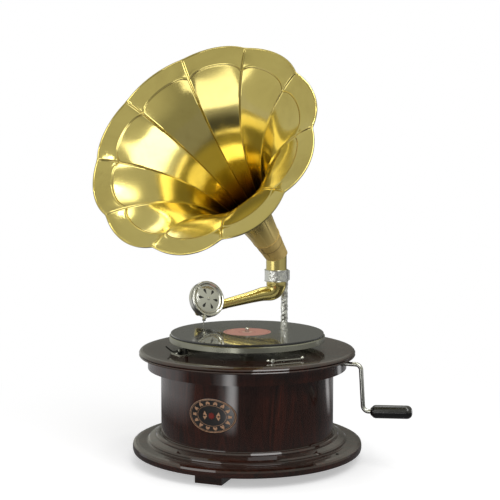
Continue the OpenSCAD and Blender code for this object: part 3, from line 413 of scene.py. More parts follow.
def join(tree, value, socket):
    """Feeds a socket with another node's socket or with a value."""
    if isinstance(value, bpy.types.NodeSocket):
        tree.links.new(value, socket)
    else:
        socket.default_value = value


def calc(tree, operation, a, b=0.0):
    """What a sum on one or two values gives."""
    return add(tree, "Math", {0: a, 1: b}, operation=operation).outputs[0]


def times(tree, a, b):
    """Two values multiplied."""
    return calc(tree, "MULTIPLY", a, b)


def vector_calc(tree, operation, a, b=None):
    """What a sum on one or two vectors gives, a value or a vector."""
    node = add(tree, "VectorMath", {0: a} if b is None else {0: a, 1: b}, operation=operation)
    return node.outputs["Value" if operation in ("LENGTH", "DOT_PRODUCT") else "Vector"]


def blend(tree, share, a, b):
    """Mixes two values."""
    return add(tree, "Mix", {0: share, 2: a, 3: b}).outputs[0]


def ranged(tree, value, low, high, to_low=0.0, to_high=1.0):
    """A value's place from low to high, given between two others and kept inside them."""
    ends = {"From Min": low, "From Max": high, "To Min": to_low, "To Max": to_high}
    return add(tree, "MapRange", {"Value": value, **ends}).outputs["Result"]


def mixed(tree, share, a, b):
    """Mixes two colours, each a linear triple or a socket."""
    a, b = (c if isinstance(c, bpy.types.NodeSocket) else (*c, 1) for c in (a, b))
    return add(tree, "Mix", {0: share, 6: a, 7: b}, data_type="RGBA").outputs[2]


def noise(tree, vector, scale, detail=3.0, roughness=0.5, distortion=0.0):
    """An uneven pattern from 0 to 1."""
    inputs = {"Vector": vector, "Scale": scale, "Detail": detail, "Roughness": roughness, "Distortion": distortion}
    return add(tree, "TexNoise", inputs).outputs["Fac"]


def stretched(tree, vector, x, y, z):
    """A vector scaled along its three axes."""
    return add(tree, "Mapping", {"Vector": vector, "Scale": (x, y, z)}).outputs[0]


def new_group(name, inputs, outputs):
    """An empty shader group. inputs maps names to defaults, None for a vector, and outputs are the names of values."""
    tree = bpy.data.node_groups.new(name, "ShaderNodeTree")
    for label, default in inputs.items():
        kind = "NodeSocketVector" if default is None else "NodeSocketFloat"
        socket = tree.interface.new_socket(name=label, in_out="INPUT", socket_type=kind)
        if default is not None:
            socket.default_value = default
    for label in outputs:
        tree.interface.new_socket(name=label, in_out="OUTPUT", socket_type="NodeSocketFloat")
    return tree, tree.nodes.new("NodeGroupInput").outputs, tree.nodes.new("NodeGroupOutput").inputs


# Effects that several finishes share, each a shader group of its function's name

def timber_figure():
    """Streaks, pores and broad clouds of wood grain along the first axis."""
    tree, given, out = new_group("timber_figure", {"Vector": None, "Scale": 1.0}, ("Streak", "Pore", "Cloud"))
    bent = noise(tree, given["Vector"], times(tree, given["Scale"], 0.35), 2)
    shift = add(tree, "CombineXYZ", {"X": bent, "Y": bent, "Z": bent}).outputs[0]
    streak = noise(tree, vector_calc(tree, "ADD", given["Vector"], shift), given["Scale"], 7, 0.62, 0.4)
    pore = noise(tree, given["Vector"], times(tree, given["Scale"], 5.5), 3, 0.6)
    tree.links.new(ranged(tree, streak, 0.36, 0.66), out["Streak"])
    tree.links.new(ranged(tree, pore, 0.3, 0.5), out["Pore"])
    tree.links.new(ranged(tree, bent, 0.3, 0.7), out["Cloud"])
    return tree


def handling_marks():
    """Smudges, fine scratches and specks."""
    tree, given, out = new_group("handling_marks", {"Vector": None, "Scale": 1.0}, ("Smudge", "Scratch", "Speck"))
    smudge = noise(tree, given["Vector"], given["Scale"], 5, 0.6, 0.6)
    scratch = noise(tree, stretched(tree, given["Vector"], 1, 7, 14), times(tree, given["Scale"], 9.0), 2, 0.5)
    speck = noise(tree, given["Vector"], times(tree, given["Scale"], 26.0), 1)
    tree.links.new(ranged(tree, smudge, 0.4, 0.68), out["Smudge"])
    tree.links.new(ranged(tree, scratch, 0.64, 0.72), out["Scratch"])
    tree.links.new(ranged(tree, speck, 0.68, 0.76), out["Speck"])
    return tree


def turned_rings():
    """Rings round the spindle, pitch metres apart, and the distance from it."""
    tree, given, out = new_group("turned_rings", {"Vector": None, "Pitch": 0.001}, ("Ring", "Radius"))
    radius = vector_calc(tree, "LENGTH", vector_calc(tree, "MULTIPLY", given["Vector"], (1, 1, 0)))
    turns = times(tree, calc(tree, "DIVIDE", radius, given["Pitch"]), 2 * pi)
    tree.links.new(ranged(tree, calc(tree, "SINE", turns), -1, 1), out["Ring"])
    tree.links.new(radius, out["Radius"])
    return tree


def settled_dust():
    """Dust on what faces up."""
    tree, given, out = new_group("settled_dust", {"Vector": None, "Amount": 0.2}, ("Mask",))
    normal = add(tree, "SeparateXYZ", {0: add(tree, "NewGeometry").outputs["Normal"]}).outputs["Z"]
    fleck = ranged(tree, noise(tree, given["Vector"], 90.0, 4, 0.7), 0.45, 0.8)
    tree.links.new(times(tree, times(tree, ranged(tree, normal, 0.35, 1.0), fleck), given["Amount"]), out["Mask"])
    return tree


def bell_depth():
    """How far a point of the horn lies behind the mouth, in metres, and whether it is on the outside."""
    tree, given, out = new_group("bell_depth", {"Vector": None, "Facing": None}, ("Depth", "Outside"))
    mouth = from_bell([0, 0, 0]) * MM
    inwards = unit(from_bell([0, 0, -1]) - from_bell([0, 0, 0]))
    off = vector_calc(tree, "SUBTRACT", given["Vector"], tuple(mouth))
    along = vector_calc(tree, "DOT_PRODUCT", off, tuple(inwards))
    spread = add(tree, "VectorMath", {0: tuple(inwards), "Scale": along}, operation="SCALE").outputs[0]
    outwards = vector_calc(tree, "DOT_PRODUCT", vector_calc(tree, "SUBTRACT", off, spread), given["Facing"])
    tree.links.new(along, out["Depth"])
    tree.links.new(calc(tree, "GREATER_THAN", outwards, 0.0), out["Outside"])
    return tree


class Finish:
    """A material under construction: its tree, its shader and the object's own coordinates."""

    def __init__(self, name, **fixed):
        self.material = bpy.data.materials.new(name)
        self.material.use_nodes = True
        self.tree = self.material.node_tree
        self.tree.nodes.clear()
        self.shader = add(self.tree, "BsdfPrincipled", fixed)
        add(self.tree, "OutputMaterial", {"Surface": self.shader.outputs[0]})
        where = add(self.tree, "TexCoord").outputs
        self.place, self.facing = where["Object"], where["Normal"]

    def effect(self, make, vector=None, **values):
        """Places the shared effect that make builds, with values for its inputs, and gives its outputs."""
        inputs = {key.capitalize(): value for key, value in values.items()}
        inputs["Vector"] = self.place if vector is None else vector
        return add(self.tree, "Group", inputs, node_tree=bpy.data.node_groups.get(make.__name__) or make()).outputs

    def feed(self, **sockets):
        """Feeds the shader's inputs of these names."""
        for key, socket in sockets.items():
            self.tree.links.new(socket, self.shader.inputs[key.replace("_", " ")])

    def bump(self, height, distance, strength, under=None):
        """The surface's direction bent by a height, on top of another bump if there is one."""
        inputs = {"Height": height, "Distance": distance, "Strength": strength}
        if under is not None:
            inputs["Normal"] = under
        return add(self.tree, "Bump", inputs).outputs[0]


def darker(colour, share):
    """A colour at a share of its strength."""
    return tuple(c * share for c in colour)


def lacquered_wood(name, stretch, dark, red, scale, brushed=(40, 40, 40)):
    """Dark mahogany under a thick gloss lacquer. brushed is the fineness of the lacquer's ripples on each axis."""
    f = Finish(name, **{"Coat Weight": 1.0, "Coat Roughness": 0.05, "Coat IOR": 1.75, "IOR": 1.3,
                        "Specular IOR Level": 0.2})
    t = f.tree
    figure = f.effect(timber_figure, stretched(t, f.place, *stretch), scale=scale)
    marks = f.effect(handling_marks, scale=14.0)
    body = mixed(t, times(t, figure["Streak"], 0.8), dark, red)
    deep = mixed(t, times(t, figure["Cloud"], 0.55), body, darker(dark, 0.45))
    pores = times(t, calc(t, "SUBTRACT", 1.0, figure["Pore"]), 0.5)
    pored = mixed(t, pores, deep, darker(dark, 0.3))
    dust = f.effect(settled_dust, amount=0.07)
    f.feed(Base_Color=mixed(t, dust["Mask"], pored, tone(150, 140, 125)))
    f.feed(Roughness=ranged(t, marks["Smudge"], 0.0, 1.0, 0.3, 0.46))
    ripple = f.bump(noise(t, f.place, 22.0, 2), 0.0006, 0.22)
    ripple = f.bump(noise(t, stretched(t, f.place, *brushed), 1.0, 3), 0.0004, 0.3, ripple)
    f.feed(Normal=f.bump(figure["Pore"], 0.00012, 0.5, ripple))
    return f.material


def plain_wood(name):
    """Unfinished softwood of the underside."""
    f = Finish(name)
    t = f.tree
    figure = f.effect(timber_figure, stretched(t, f.place, 1, 12, 12), scale=9.0)
    f.feed(Base_Color=mixed(t, figure["Streak"], tone(74, 48, 33), tone(112, 78, 52)))
    f.feed(Roughness=ranged(t, figure["Pore"], 0, 1, 0.85, 0.65), Normal=f.bump(figure["Pore"], 0.0004, 0.7))
    return f.material


def polished_brass(name, light, deep, rough, tarnish, wave, metallic=1.0, throat_shade=None, outer=None):
    """Hand-polished brass sheet with faint waves, smears and brown tarnish. Deep down the bell it takes painted shade
    inside, in the throat colour, and the outer colour outside."""
    f = Finish(name, Metallic=metallic)
    t = f.tree
    marks = f.effect(handling_marks, scale=9.0)
    fine = f.effect(handling_marks, scale=34.0)
    body = mixed(t, times(t, marks["Smudge"], 0.6), light, deep)
    patches = ranged(t, noise(t, f.place, 17.0, 6, 0.68, 0.5), 0.56 - 0.3 * tarnish, 0.78)
    stain_and_shade = mixed(t, times(t, patches, tarnish), body, tone(112, 78, 30))
    if throat_shade is not None:
        bell = f.effect(bell_depth, facing=f.facing)
        depth = calc(t, "ADD", bell["Depth"], times(t, calc(t, "SUBTRACT", patches, 0.5), 0.05))
        dull = times(t, bell["Outside"], ranged(t, depth, 0.17, 0.25))
        # Painted shade: inside, the bell darkens to the throat colour towards its throat; outside it takes the outer
        # colour
        stain_and_shade = mixed(t, ranged(t, depth, 0.13, 0.25), stain_and_shade, mixed(t, bell["Outside"], throat_shade, outer))
        f.feed(Metallic=ranged(t, dull, 0, 1, 1.0, 0.35))
    f.feed(Base_Color=mixed(t, times(t, fine["Speck"], 0.35 * tarnish), stain_and_shade, tone(60, 38, 16)))
    worn = calc(t, "ADD", times(t, marks["Smudge"], 0.5), times(t, patches, tarnish))
    worn = ranged(t, worn, 0.0, 1.3, rough, rough + 0.26)
    f.feed(Roughness=worn if throat_shade is None else calc(t, "ADD", worn, times(t, dull, 0.3)))
    waves = f.bump(noise(t, f.place, 11.0, 2, 0.4), 0.0012, wave)
    f.feed(Normal=f.bump(fine["Scratch"], 0.00003, 0.35, waves))
    return f.material


def bright_plate(name, colour, rough, lumps, lump_scale=150.0):
    """Nickel or chrome plate, smooth or over a rough casting."""
    f = Finish(name, Metallic=1.0)
    t = f.tree
    marks = f.effect(handling_marks, scale=28.0)
    f.feed(Base_Color=mixed(t, times(t, marks["Smudge"], 0.25), colour, darker(colour, 0.6)))
    f.feed(Roughness=ranged(t, marks["Smudge"], 0, 1, rough, rough + 0.14))
    cast = f.bump(noise(t, f.place, lump_scale, 3, 0.6), 0.0012, lumps)
    f.feed(Normal=f.bump(marks["Scratch"], 0.00003, 0.4, cast))
    return f.material


def turned_plate(name, colour, rough):
    """Spun sheet with faint turning lines round the spindle."""
    f = Finish(name, Metallic=1.0)
    t = f.tree
    rings = f.effect(turned_rings, pitch=0.0012)
    marks = f.effect(handling_marks, scale=18.0)
    f.feed(Base_Color=mixed(t, times(t, marks["Smudge"], 0.4), colour, darker(colour, 0.62)))
    f.feed(Roughness=ranged(t, marks["Smudge"], 0, 1, rough, rough + 0.18))
    f.feed(Normal=f.bump(rings["Ring"], 0.00002, 0.3))
    return f.material


def cast_iron(name):
    """Grey paint over rough iron."""
    f = Finish(name, Metallic=0.0, IOR=1.5)
    t = f.tree
    marks = f.effect(handling_marks, scale=30.0)
    grain = noise(t, f.place, 420.0, 4, 0.6)
    f.feed(Base_Color=mixed(t, marks["Smudge"], tone(86, 88, 82), tone(56, 57, 52)))
    f.feed(Roughness=ranged(t, grain, 0.3, 0.7, 0.45, 0.7), Normal=f.bump(grain, 0.0002, 0.6))
    return f.material


def machined(name, colour, rough=0.28):
    """Metal straight from the lathe or the mill."""
    f = Finish(name, Metallic=1.0)
    t = f.tree
    marks = f.effect(handling_marks, stretched(t, f.place, 1, 1, 6), scale=60.0)
    f.feed(Base_Color=mixed(t, times(t, marks["Smudge"], 0.5), colour, darker(colour, 0.5)))
    f.feed(Roughness=ranged(t, marks["Smudge"], 0, 1, rough, rough + 0.2))
    f.feed(Normal=f.bump(marks["Scratch"], 0.00005, 0.5))
    return f.material


def pressed_shellac(name):
    """The record: fine grooves in bands, with a smooth run-in and run-out."""
    f = Finish(name, **{"IOR": 1.6, "Coat Weight": 1.0, "Coat Roughness": 0.04})
    t = f.tree
    fine = f.effect(turned_rings, pitch=0.0011)
    band = noise(t, add(t, "CombineXYZ", {"X": fine["Radius"]}).outputs[0], 260.0, 2)
    marks = f.effect(handling_marks, scale=16.0)
    f.feed(Base_Color=mixed(t, ranged(t, band, 0.4, 0.6), tone(17, 17, 18), tone(34, 34, 34)))
    worn = calc(t, "ADD", times(t, marks["Smudge"], 0.5), times(t, band, 0.5))
    f.feed(Roughness=ranged(t, worn, 0.1, 0.9, 0.14, 0.34))
    grooved = ranged(t, fine["Radius"], 0.043, 0.046)
    f.feed(Normal=f.bump(times(t, fine["Ring"], grooved), 0.00005, 0.5))
    return f.material


def printed_label(name, colour):
    """A plain paper label with printed rings and no words."""
    f = Finish(name)
    t = f.tree
    rings = f.effect(turned_rings, pitch=0.004)
    fibre = noise(t, f.place, 900.0, 4, 0.7)
    paper = mixed(t, ranged(t, fibre, 0.3, 0.7), colour, darker(colour, 0.8))
    r = rings["Radius"]
    lines = None
    for low, high in ((0.0125, 0.0131), (0.0142, 0.0145), (0.0345, 0.0352), (0.0362, 0.0365)):
        line = times(t, calc(t, "GREATER_THAN", r, low), calc(t, "LESS_THAN", r, high))
        lines = line if lines is None else calc(t, "MAXIMUM", lines, line)
    pale = calc(t, "LESS_THAN", r, 0.0085)
    printed = mixed(t, times(t, lines, 0.75), paper, tone(120, 40, 36))
    f.feed(Base_Color=mixed(t, times(t, pale, 0.7), printed, tone(226, 196, 176)))
    f.feed(Roughness=ranged(t, fibre, 0.3, 0.7, 0.5, 0.66), Normal=f.bump(fibre, 0.00004, 0.5))
    return f.material


def napped_felt(name):
    """Dark felt with its nap up."""
    f = Finish(name, **{"Sheen Weight": 0.5, "Sheen Roughness": 0.5})
    t = f.tree
    nap = noise(t, f.place, 800.0, 5, 0.8)
    f.feed(Base_Color=mixed(t, nap, tone(30, 31, 29), tone(62, 62, 58)))
    f.feed(Roughness=ranged(t, nap, 0, 1, 0.85, 1.0), Normal=f.bump(nap, 0.0008, 0.8))
    return f.material


def gloss_lacquer(name, colour, rough):
    """Dipped gloss lacquer with dust nibs and small scuffs."""
    f = Finish(name, **{"Coat Weight": 0.8, "Coat Roughness": 0.05, "IOR": 1.5})
    t = f.tree
    marks = f.effect(handling_marks, scale=40.0)
    f.feed(Base_Color=mixed(t, times(t, marks["Speck"], 0.3), colour, tone(70, 66, 60)))
    f.feed(Roughness=ranged(t, marks["Smudge"], 0, 1, rough, rough + 0.2))
    f.feed(Normal=f.bump(noise(t, f.place, 60.0, 2), 0.0003, 0.25))
    return f.material


def grey_mica(name):
    """Flaky mica sheet."""
    f = Finish(name, IOR=1.56)
    t = f.tree
    flake = noise(t, f.place, 120.0, 6, 0.7, 0.8)
    f.feed(Base_Color=mixed(t, flake, tone(64, 62, 56), tone(128, 124, 112)))
    f.feed(Roughness=ranged(t, flake, 0.3, 0.7, 0.25, 0.5), Normal=f.bump(flake, 0.0001, 0.5))
    return f.material


def painted_copper(name, colour):
    """Thin raised lines of old copper print on the plaque."""
    f = Finish(name, Metallic=0.35, IOR=1.5)
    t = f.tree
    wear = noise(t, f.place, 520.0, 4, 0.7)
    f.feed(Base_Color=mixed(t, ranged(t, wear, 0.42, 0.68), colour, darker(colour, 0.45)))
    f.feed(Roughness=ranged(t, wear, 0.3, 0.7, 0.4, 0.62), Normal=f.bump(wear, 0.00005, 0.6))
    return f.material


def finish(kind):
    """The finish of one of the record's slots or of one of this file's own kinds, made on first use."""
    scene = bpy.context.scene
    horn, case = scene.gramophone_horn, scene.gramophone_case
    light, deep, neck = tuple(horn.brass_colour), tuple(horn.deep_colour), tuple(horn.neck_colour)
    dark, red, nickel = tuple(case.dark_colour), tuple(case.red_colour), tuple(scene.gramophone_metal.nickel_colour)
    name, make, *values = {
        "plain_wood": ("underside_wood", plain_wood),
        "dark_wood": ("mahogany_turned", lacquered_wood, (0.35, 3.0, 3.0), dark, red, 22.0),
        "drum_wood": ("mahogany_drum", lacquered_wood, (3.0, 3.0, 0.35), dark, red, 18.0, (22, 22, 260)),
        "board_wood": ("mahogany_board", lacquered_wood, (0.3, 3.2, 3.2), dark, red, 18.0),
        "dark_plate": ("plaque_black", gloss_lacquer, tone(22, 19, 17), 0.3),
        "copper_print": ("plaque_copper", painted_copper, tuple(case.plaque_colour)),
        "red_print": ("plaque_red", painted_copper, tone(126, 34, 26)),
        "nickel": ("nickel_plate", bright_plate, nickel, 0.1, 0.05),
        "cast_nickel": ("nickel_casting", bright_plate, tone(240, 241, 235), 0.24, 1.3, 130.0),
        "stamped_nickel": ("nickel_stamping", bright_plate, nickel, 0.1, 0.16, 220.0),
        "platter_metal": ("platter_spun", turned_plate, tone(168, 168, 152), 0.22),
        "bell_brass": ("brass_bell", polished_brass, light, deep, horn.bell_roughness, horn.tarnish, 0.2, 1.0,
                       tuple(horn.throat_colour), neck),
        "horn_brass": ("brass_tube", polished_brass, light, deep, 0.15, 0.12, 0.02),
        "old_brass": ("brass_neck", polished_brass, neck, tone(204, 170, 100), 0.45, 0.5, 0.3, 0.35),
        "seam_brass": ("seam_line", polished_brass, tone(150, 122, 62), tone(112, 86, 42), 0.34, 0.5, 0.3),
        "solder": ("solder_line", polished_brass, tone(84, 58, 26), tone(60, 42, 20), 0.5, 0.8, 0.3, 0.3),
        "motor_iron": ("motor_paint", cast_iron),
        "motor_steel": ("turned_steel", machined, tone(168, 168, 164)),
        "spring_steel": ("blued_steel", machined, tone(92, 98, 112)),
        "dark_steel": ("darkened_steel", machined, tone(60, 60, 58), 0.34),
        "motor_brass": ("cut_brass", machined, tone(190, 156, 82)),
        "felt": ("platter_felt", napped_felt),
        "shellac": ("record_shellac", pressed_shellac),
        "label_paper": ("label_print", printed_label, tuple(scene.gramophone_disc.label_colour)),
        "black_lacquer": ("grip_lacquer", gloss_lacquer, tone(14, 14, 14), 0.12),
        # Painted shade of the soundbox's openings
        "opening": ("opening_dark", gloss_lacquer, tone(12, 12, 11), 0.5),
        "mica": ("diaphragm_mica", grey_mica),
    }[kind]
    return bpy.data.materials.get(name) or make(name, *values)


OWN_KINDS = {"case_drum": "drum_wood", "case_band": "drum_wood", "top_board": "board_wood",
             "horn_collar": "cast_nickel", "support_leg": "cast_nickel",
             "soundbox_shell": "stamped_nickel", "soundbox_face": "stamped_nickel"}


def dress(*names):
    """Gives solids that stay on show their own kind of finish, or their slot's."""
    slots = {p["node"]: p["material_slot"] for p in frame["record"]["subparts"]}
    for name in names:
        for place in frame["nodes"][name].material_slots:
            place.material = finish(OWN_KINDS.get(name, slots[name]))


# Settings

def colour(label, description, default):
    return FloatVectorProperty(name=label, description=description, subtype="COLOR", size=3, min=0, max=1,
                               default=default)


def part_of_one(label, description, default):
    return FloatProperty(name=label, description=description, subtype="FACTOR", min=0, max=1, default=default)


def amount(label, description, default, most):
    return FloatProperty(name=label, description=description, min=0, max=most, default=default)


def rib_height(label, description, default):
    return FloatProperty(name=label, description=description, unit="LENGTH", precision=5, min=0, max=1.6 * MM,
                         default=default)


class HornSettings(bpy.types.PropertyGroup):
    brass_colour: colour("Brass", "Colour of the polished brass", tone(222, 205, 128))
    deep_colour: colour("Smeared brass", "Colour of the brass where it was handled", tone(200, 182, 108))
    # Painted shade: the colour that darkens the inside of the bell towards its throat
    throat_colour: colour("Throat brass", "Colour of the tarnish deep in the bell", tone(176, 132, 62))
    neck_colour: colour("Neck brass", "Colour of the tarnished neck", tone(226, 198, 118))
    bell_roughness: part_of_one("Bell roughness", "How blurred the bell reflects", 0.1)
    tarnish: part_of_one("Tarnish", "How much brown tarnish lies on the bell", 0.14)
    seam_height: rib_height("Seam height", "Height of the ribs along the seams", 1.3 * MM)
    crease_height: rib_height("Crease height", "Height of the bead round each petal's panel", 1.2 * MM)


class CaseSettings(bpy.types.PropertyGroup):
    dark_colour: colour("Dark wood", "Colour of the dark part of the grain", tone(34, 17, 10))
    red_colour: colour("Red wood", "Colour of the light streaks of the grain", tone(72, 29, 16))
    plaque_colour: colour("Plaque lines", "Colour of the plaque's raised lines", tone(196, 152, 118))
    plaque_leaves: IntProperty(name="Plaque leaves", description="Leaves round the plaque's border", default=28,
                               min=8, max=60)


class MetalSettings(bpy.types.PropertyGroup):
    nickel_colour: colour("Nickel", "Colour of the plated fittings", tone(214, 214, 206))
    knurl_beads: IntProperty(name="Knurl beads", description="Beads round the soundbox's rim", default=80,
                             min=20, max=160)


class DiscSettings(bpy.types.PropertyGroup):
    label_colour: colour("Label", "Colour of the record's label", tone(222, 160, 146))


class StageSettings(bpy.types.PropertyGroup):
    floor_colour: colour("Floor", "Colour of the floor", (0.86, 0.86, 0.86))
    floor_glow: amount("Floor glow", "Light added to the floor near the object for the camera", 0.42, 1)
    world_level: amount("Sky level", "Strength of the even light from all sides", 0.5, 2)
    high_level: amount("Above", "What gloss shows high up", 0.56, 1)
    window_level: amount("Windows", "Brightness of the window lights", 2.4, 10)


# Operators

class GRAMOPHONE_OT_stage(bpy.types.Operator):
    """Adds the floor, the sky, the lamps and the camera"""
    bl_idname = "gramophone.stage"
    bl_label = "Stage"
    # What gloss finds on the near floor and on all that is far: (degrees from the front towards the crank, brightness)
    NEAR = ((-180, 0.35), (-120, 0.4), (-75, 0.65), (-58, 0.6), (-44, 0.07), (-16, 0.05), (-6, 0.5), (1, 2.9),
            (5, 2.9), (11, 0.05), (112, 0.06), (136, 0.14), (140, 1.3), (145, 1.3), (150, 0.2), (180, 0.35))
    FAR = ((-180, 0.15), (-154, 0.18), (-138, 0.6), (-48, 0.6), (-14, 0.36), (0, 0.31), (45, 0.31), (62, 0.5),
           (120, 0.42), (150, 0.2), (180, 0.15))
    # (name, degrees from the front towards the crank, distance, lowest and highest point, width, share of the windows'
    # brightness, height that it faces)
    LAMPS = (("right_window", 48, 1.4, 1.15, 2.35, 1.2, 1.35, 0.6),
             ("left_window", -25, 1.3, 0.1, 0.84, 0.8, 0.66, 0.5),
             ("back_window", -147, 1.2, 1.9, 2.5, 0.7, 1.0, 0.5),
             ("ceiling_light", -12, 0.42, 2.1, 2.24, 0.14, 14.0, 0.1))
    # Where one look of the floor goes over to the next, in metres from the middle
    STREAK_FADE, NEAR_TO_FAR, PAPER_TO_WHITE = (0.4, 0.62), (0.95, 1.3), (0.3, 0.75)
    # The same for the sky, as the upward part of the way that one looks
    LOW_TO_HIGH, OVERHEAD = (0.22, 0.5), (0.984, 0.997)
    WHITE, GLOSS_TINT = (1.0, 1.0, 1.0), (1.0, 1.0, 0.87)
    FLOOR_HALF = 6.0
    CAMERA_AT, CAMERA_WAY = (0.6477, -1.7189, 0.5091), (-0.3488, 0.9328, -0.0906)
    SENSOR, LENS = 36.0, 81.69

    def execute(self, context):
        scene, set_up = context.scene, context.scene.gramophone_stage
        self.floor(scene, set_up)
        self.sky(scene, set_up)
        self.lamps(scene, set_up)
        self.camera(scene)
        scene.view_settings.view_transform = "Standard"
        return {"FINISHED"}

    def rays(self, tree):
        """Masks for rays straight from the camera or through glass, and for reflections."""
        path = add(tree, "LightPath").outputs
        return calc(tree, "MAXIMUM", path["Is Camera Ray"], path["Is Transmission Ray"]), path["Is Glossy Ray"]

    def by_azimuth(self, tree, vector, levels):
        """Brightness by the direction of a vector in plan."""
        at = add(tree, "SeparateXYZ", {0: vector}).outputs
        azimuth = calc(tree, "ARCTAN2", at["X"], times(tree, at["Y"], -1.0))
        ramp = add(tree, "ValToRGB", {0: ranged(tree, azimuth, -pi, pi)})
        stops = ramp.color_ramp.elements
        while len(stops) < len(levels):
            stops.new(0.5)
        for stop, (degrees, level) in zip(stops, levels):
            stop.position = (degrees + 180) / 360
            stop.color = (level, level, level, 1)
        return ramp.outputs["Color"]

    def in_gloss(self, tree, place, away):
        """The floor as gloss shows it: dark in front but for a streak of light, paler to the sides and far off."""
        near = times(tree, self.by_azimuth(tree, place, self.NEAR), ranged(tree, away, *self.STREAK_FADE))
        near = calc(tree, "ADD", near, ranged(tree, away, 0.3, 0.6, 0.12, 0.02))
        return blend(tree, ranged(tree, away, *self.NEAR_TO_FAR), near, self.by_azimuth(tree, place, self.FAR))

    def floor(self, scene, set_up):
        """Paper that stays white to the camera, with the object's shadow on it, and darkens for gloss in front."""
        h = self.FLOOR_HALF
        mesh = bpy.data.meshes.new("floor")
        mesh.from_pydata([(-h, -h, 0), (h, -h, 0), (h, h, 0), (-h, h, 0)], [], [(0, 1, 2, 3)])
        floor = bpy.data.objects.new("floor", mesh)
        scene.collection.objects.link(floor)
        material = bpy.data.materials.new("floor_paper")
        material.use_nodes = True
        tree = material.node_tree
        tree.nodes.clear()
        straight, gloss = self.rays(tree)
        place = add(tree, "TexCoord").outputs["Object"]
        away = vector_calc(tree, "LENGTH", place)
        paper = add(tree, "BsdfDiffuse", {"Color": (*set_up.floor_colour, 1)})
        glow = add(tree, "Emission", {"Strength": times(tree, straight, set_up.floor_glow)})
        near = add(tree, "AddShader", {0: paper.outputs[0], 1: glow.outputs[0]})
        white = add(tree, "Emission", {"Strength": 1.0})
        share = times(tree, straight, ranged(tree, away, *self.PAPER_TO_WHITE))
        seen = add(tree, "MixShader", {0: share, 1: near.outputs[0], 2: white.outputs[0]})
        dim = add(tree, "Emission", {"Strength": self.in_gloss(tree, place, away)})
        all_rays = add(tree, "MixShader", {0: gloss, 1: seen.outputs[0], 2: dim.outputs[0]})
        add(tree, "OutputMaterial", {"Surface": all_rays.outputs[0]})
        mesh.materials.append(material)

    def sky(self, scene, set_up):
        """A white room. Gloss finds it dimmer low down and bright right overhead."""
        world = bpy.data.worlds.new("studio")
        world.use_nodes = True
        tree = world.node_tree
        tree.nodes.clear()
        straight, gloss = self.rays(tree)
        way = add(tree, "TexCoord").outputs["Generated"]
        height = add(tree, "SeparateXYZ", {0: way}).outputs["Z"]
        low = self.by_azimuth(tree, way, self.FAR)
        room = blend(tree, ranged(tree, height, *self.LOW_TO_HIGH), low, set_up.high_level)
        room = calc(tree, "ADD", room, ranged(tree, height, *self.OVERHEAD, 0.0, 5.0))
        level = blend(tree, straight, blend(tree, gloss, set_up.world_level, room), 1.0)
        tint = mixed(tree, straight, mixed(tree, gloss, self.WHITE, self.GLOSS_TINT), self.WHITE)
        sky = add(tree, "Background", {"Color": tint, "Strength": level})
        add(tree, "OutputWorld", {"Surface": sky.outputs[0]})
        scene.world = world

    def lamps(self, scene, set_up):
        """Three windows and a small ceiling light."""
        for name, azimuth, far, low, high, wide, share, aim in self.LAMPS:
            lamp = bpy.data.lights.new(name, "AREA")
            lamp.shape = "RECTANGLE"
            lamp.size, lamp.size_y = wide, high - low
            lamp.energy = set_up.window_level * share * pi * wide * (high - low)
            holder = bpy.data.objects.new(name, lamp)
            a = radians(azimuth)
            holder.location = Vector((far * sin(a), -far * cos(a), (low + high) / 2))
            holder.rotation_euler = (Vector((0, 0, aim)) - holder.location).to_track_quat("-Z", "Y").to_euler()
            holder.visible_camera = False
            scene.collection.objects.link(holder)

    def camera(self, scene):
        """The camera stands where the photograph was taken from and looks the same way."""
        data = bpy.data.cameras.new("camera")
        data.sensor_width = self.SENSOR
        data.lens = self.LENS
        camera = bpy.data.objects.new("camera", data)
        camera.location = self.CAMERA_AT
        camera.rotation_euler = Vector(self.CAMERA_WAY).to_track_quat("-Z", "Y").to_euler()
        scene.collection.objects.link(camera)
        scene.camera = camera


class GRAMOPHONE_OT_case(bpy.types.Operator):
    """Finishes the wooden case and adds its screws"""
    bl_idname = "gramophone.case"
    bl_label = "Case"
    SCREWS_AT = (-15, 75, 165)
    SCREW_R, SCREW_Z = 173, 30.4
    HEAD = 2.6, 1.6

    def execute(self, context):
        dress("foot_blocks", "plinth_ring", "base_board", "case_drum", "case_band", "top_board", "crank_escutcheon",
              "board_screws")
        heads = []
        for turn in self.SCREWS_AT:
            a = radians(turn)
            heads += slotted_head([self.SCREW_R * cos(a), self.SCREW_R * sin(a), self.SCREW_Z], UP, *self.HEAD)
        put("plinth_screws", *joined(heads), "case", "dark_steel")
        return {"FINISHED"}


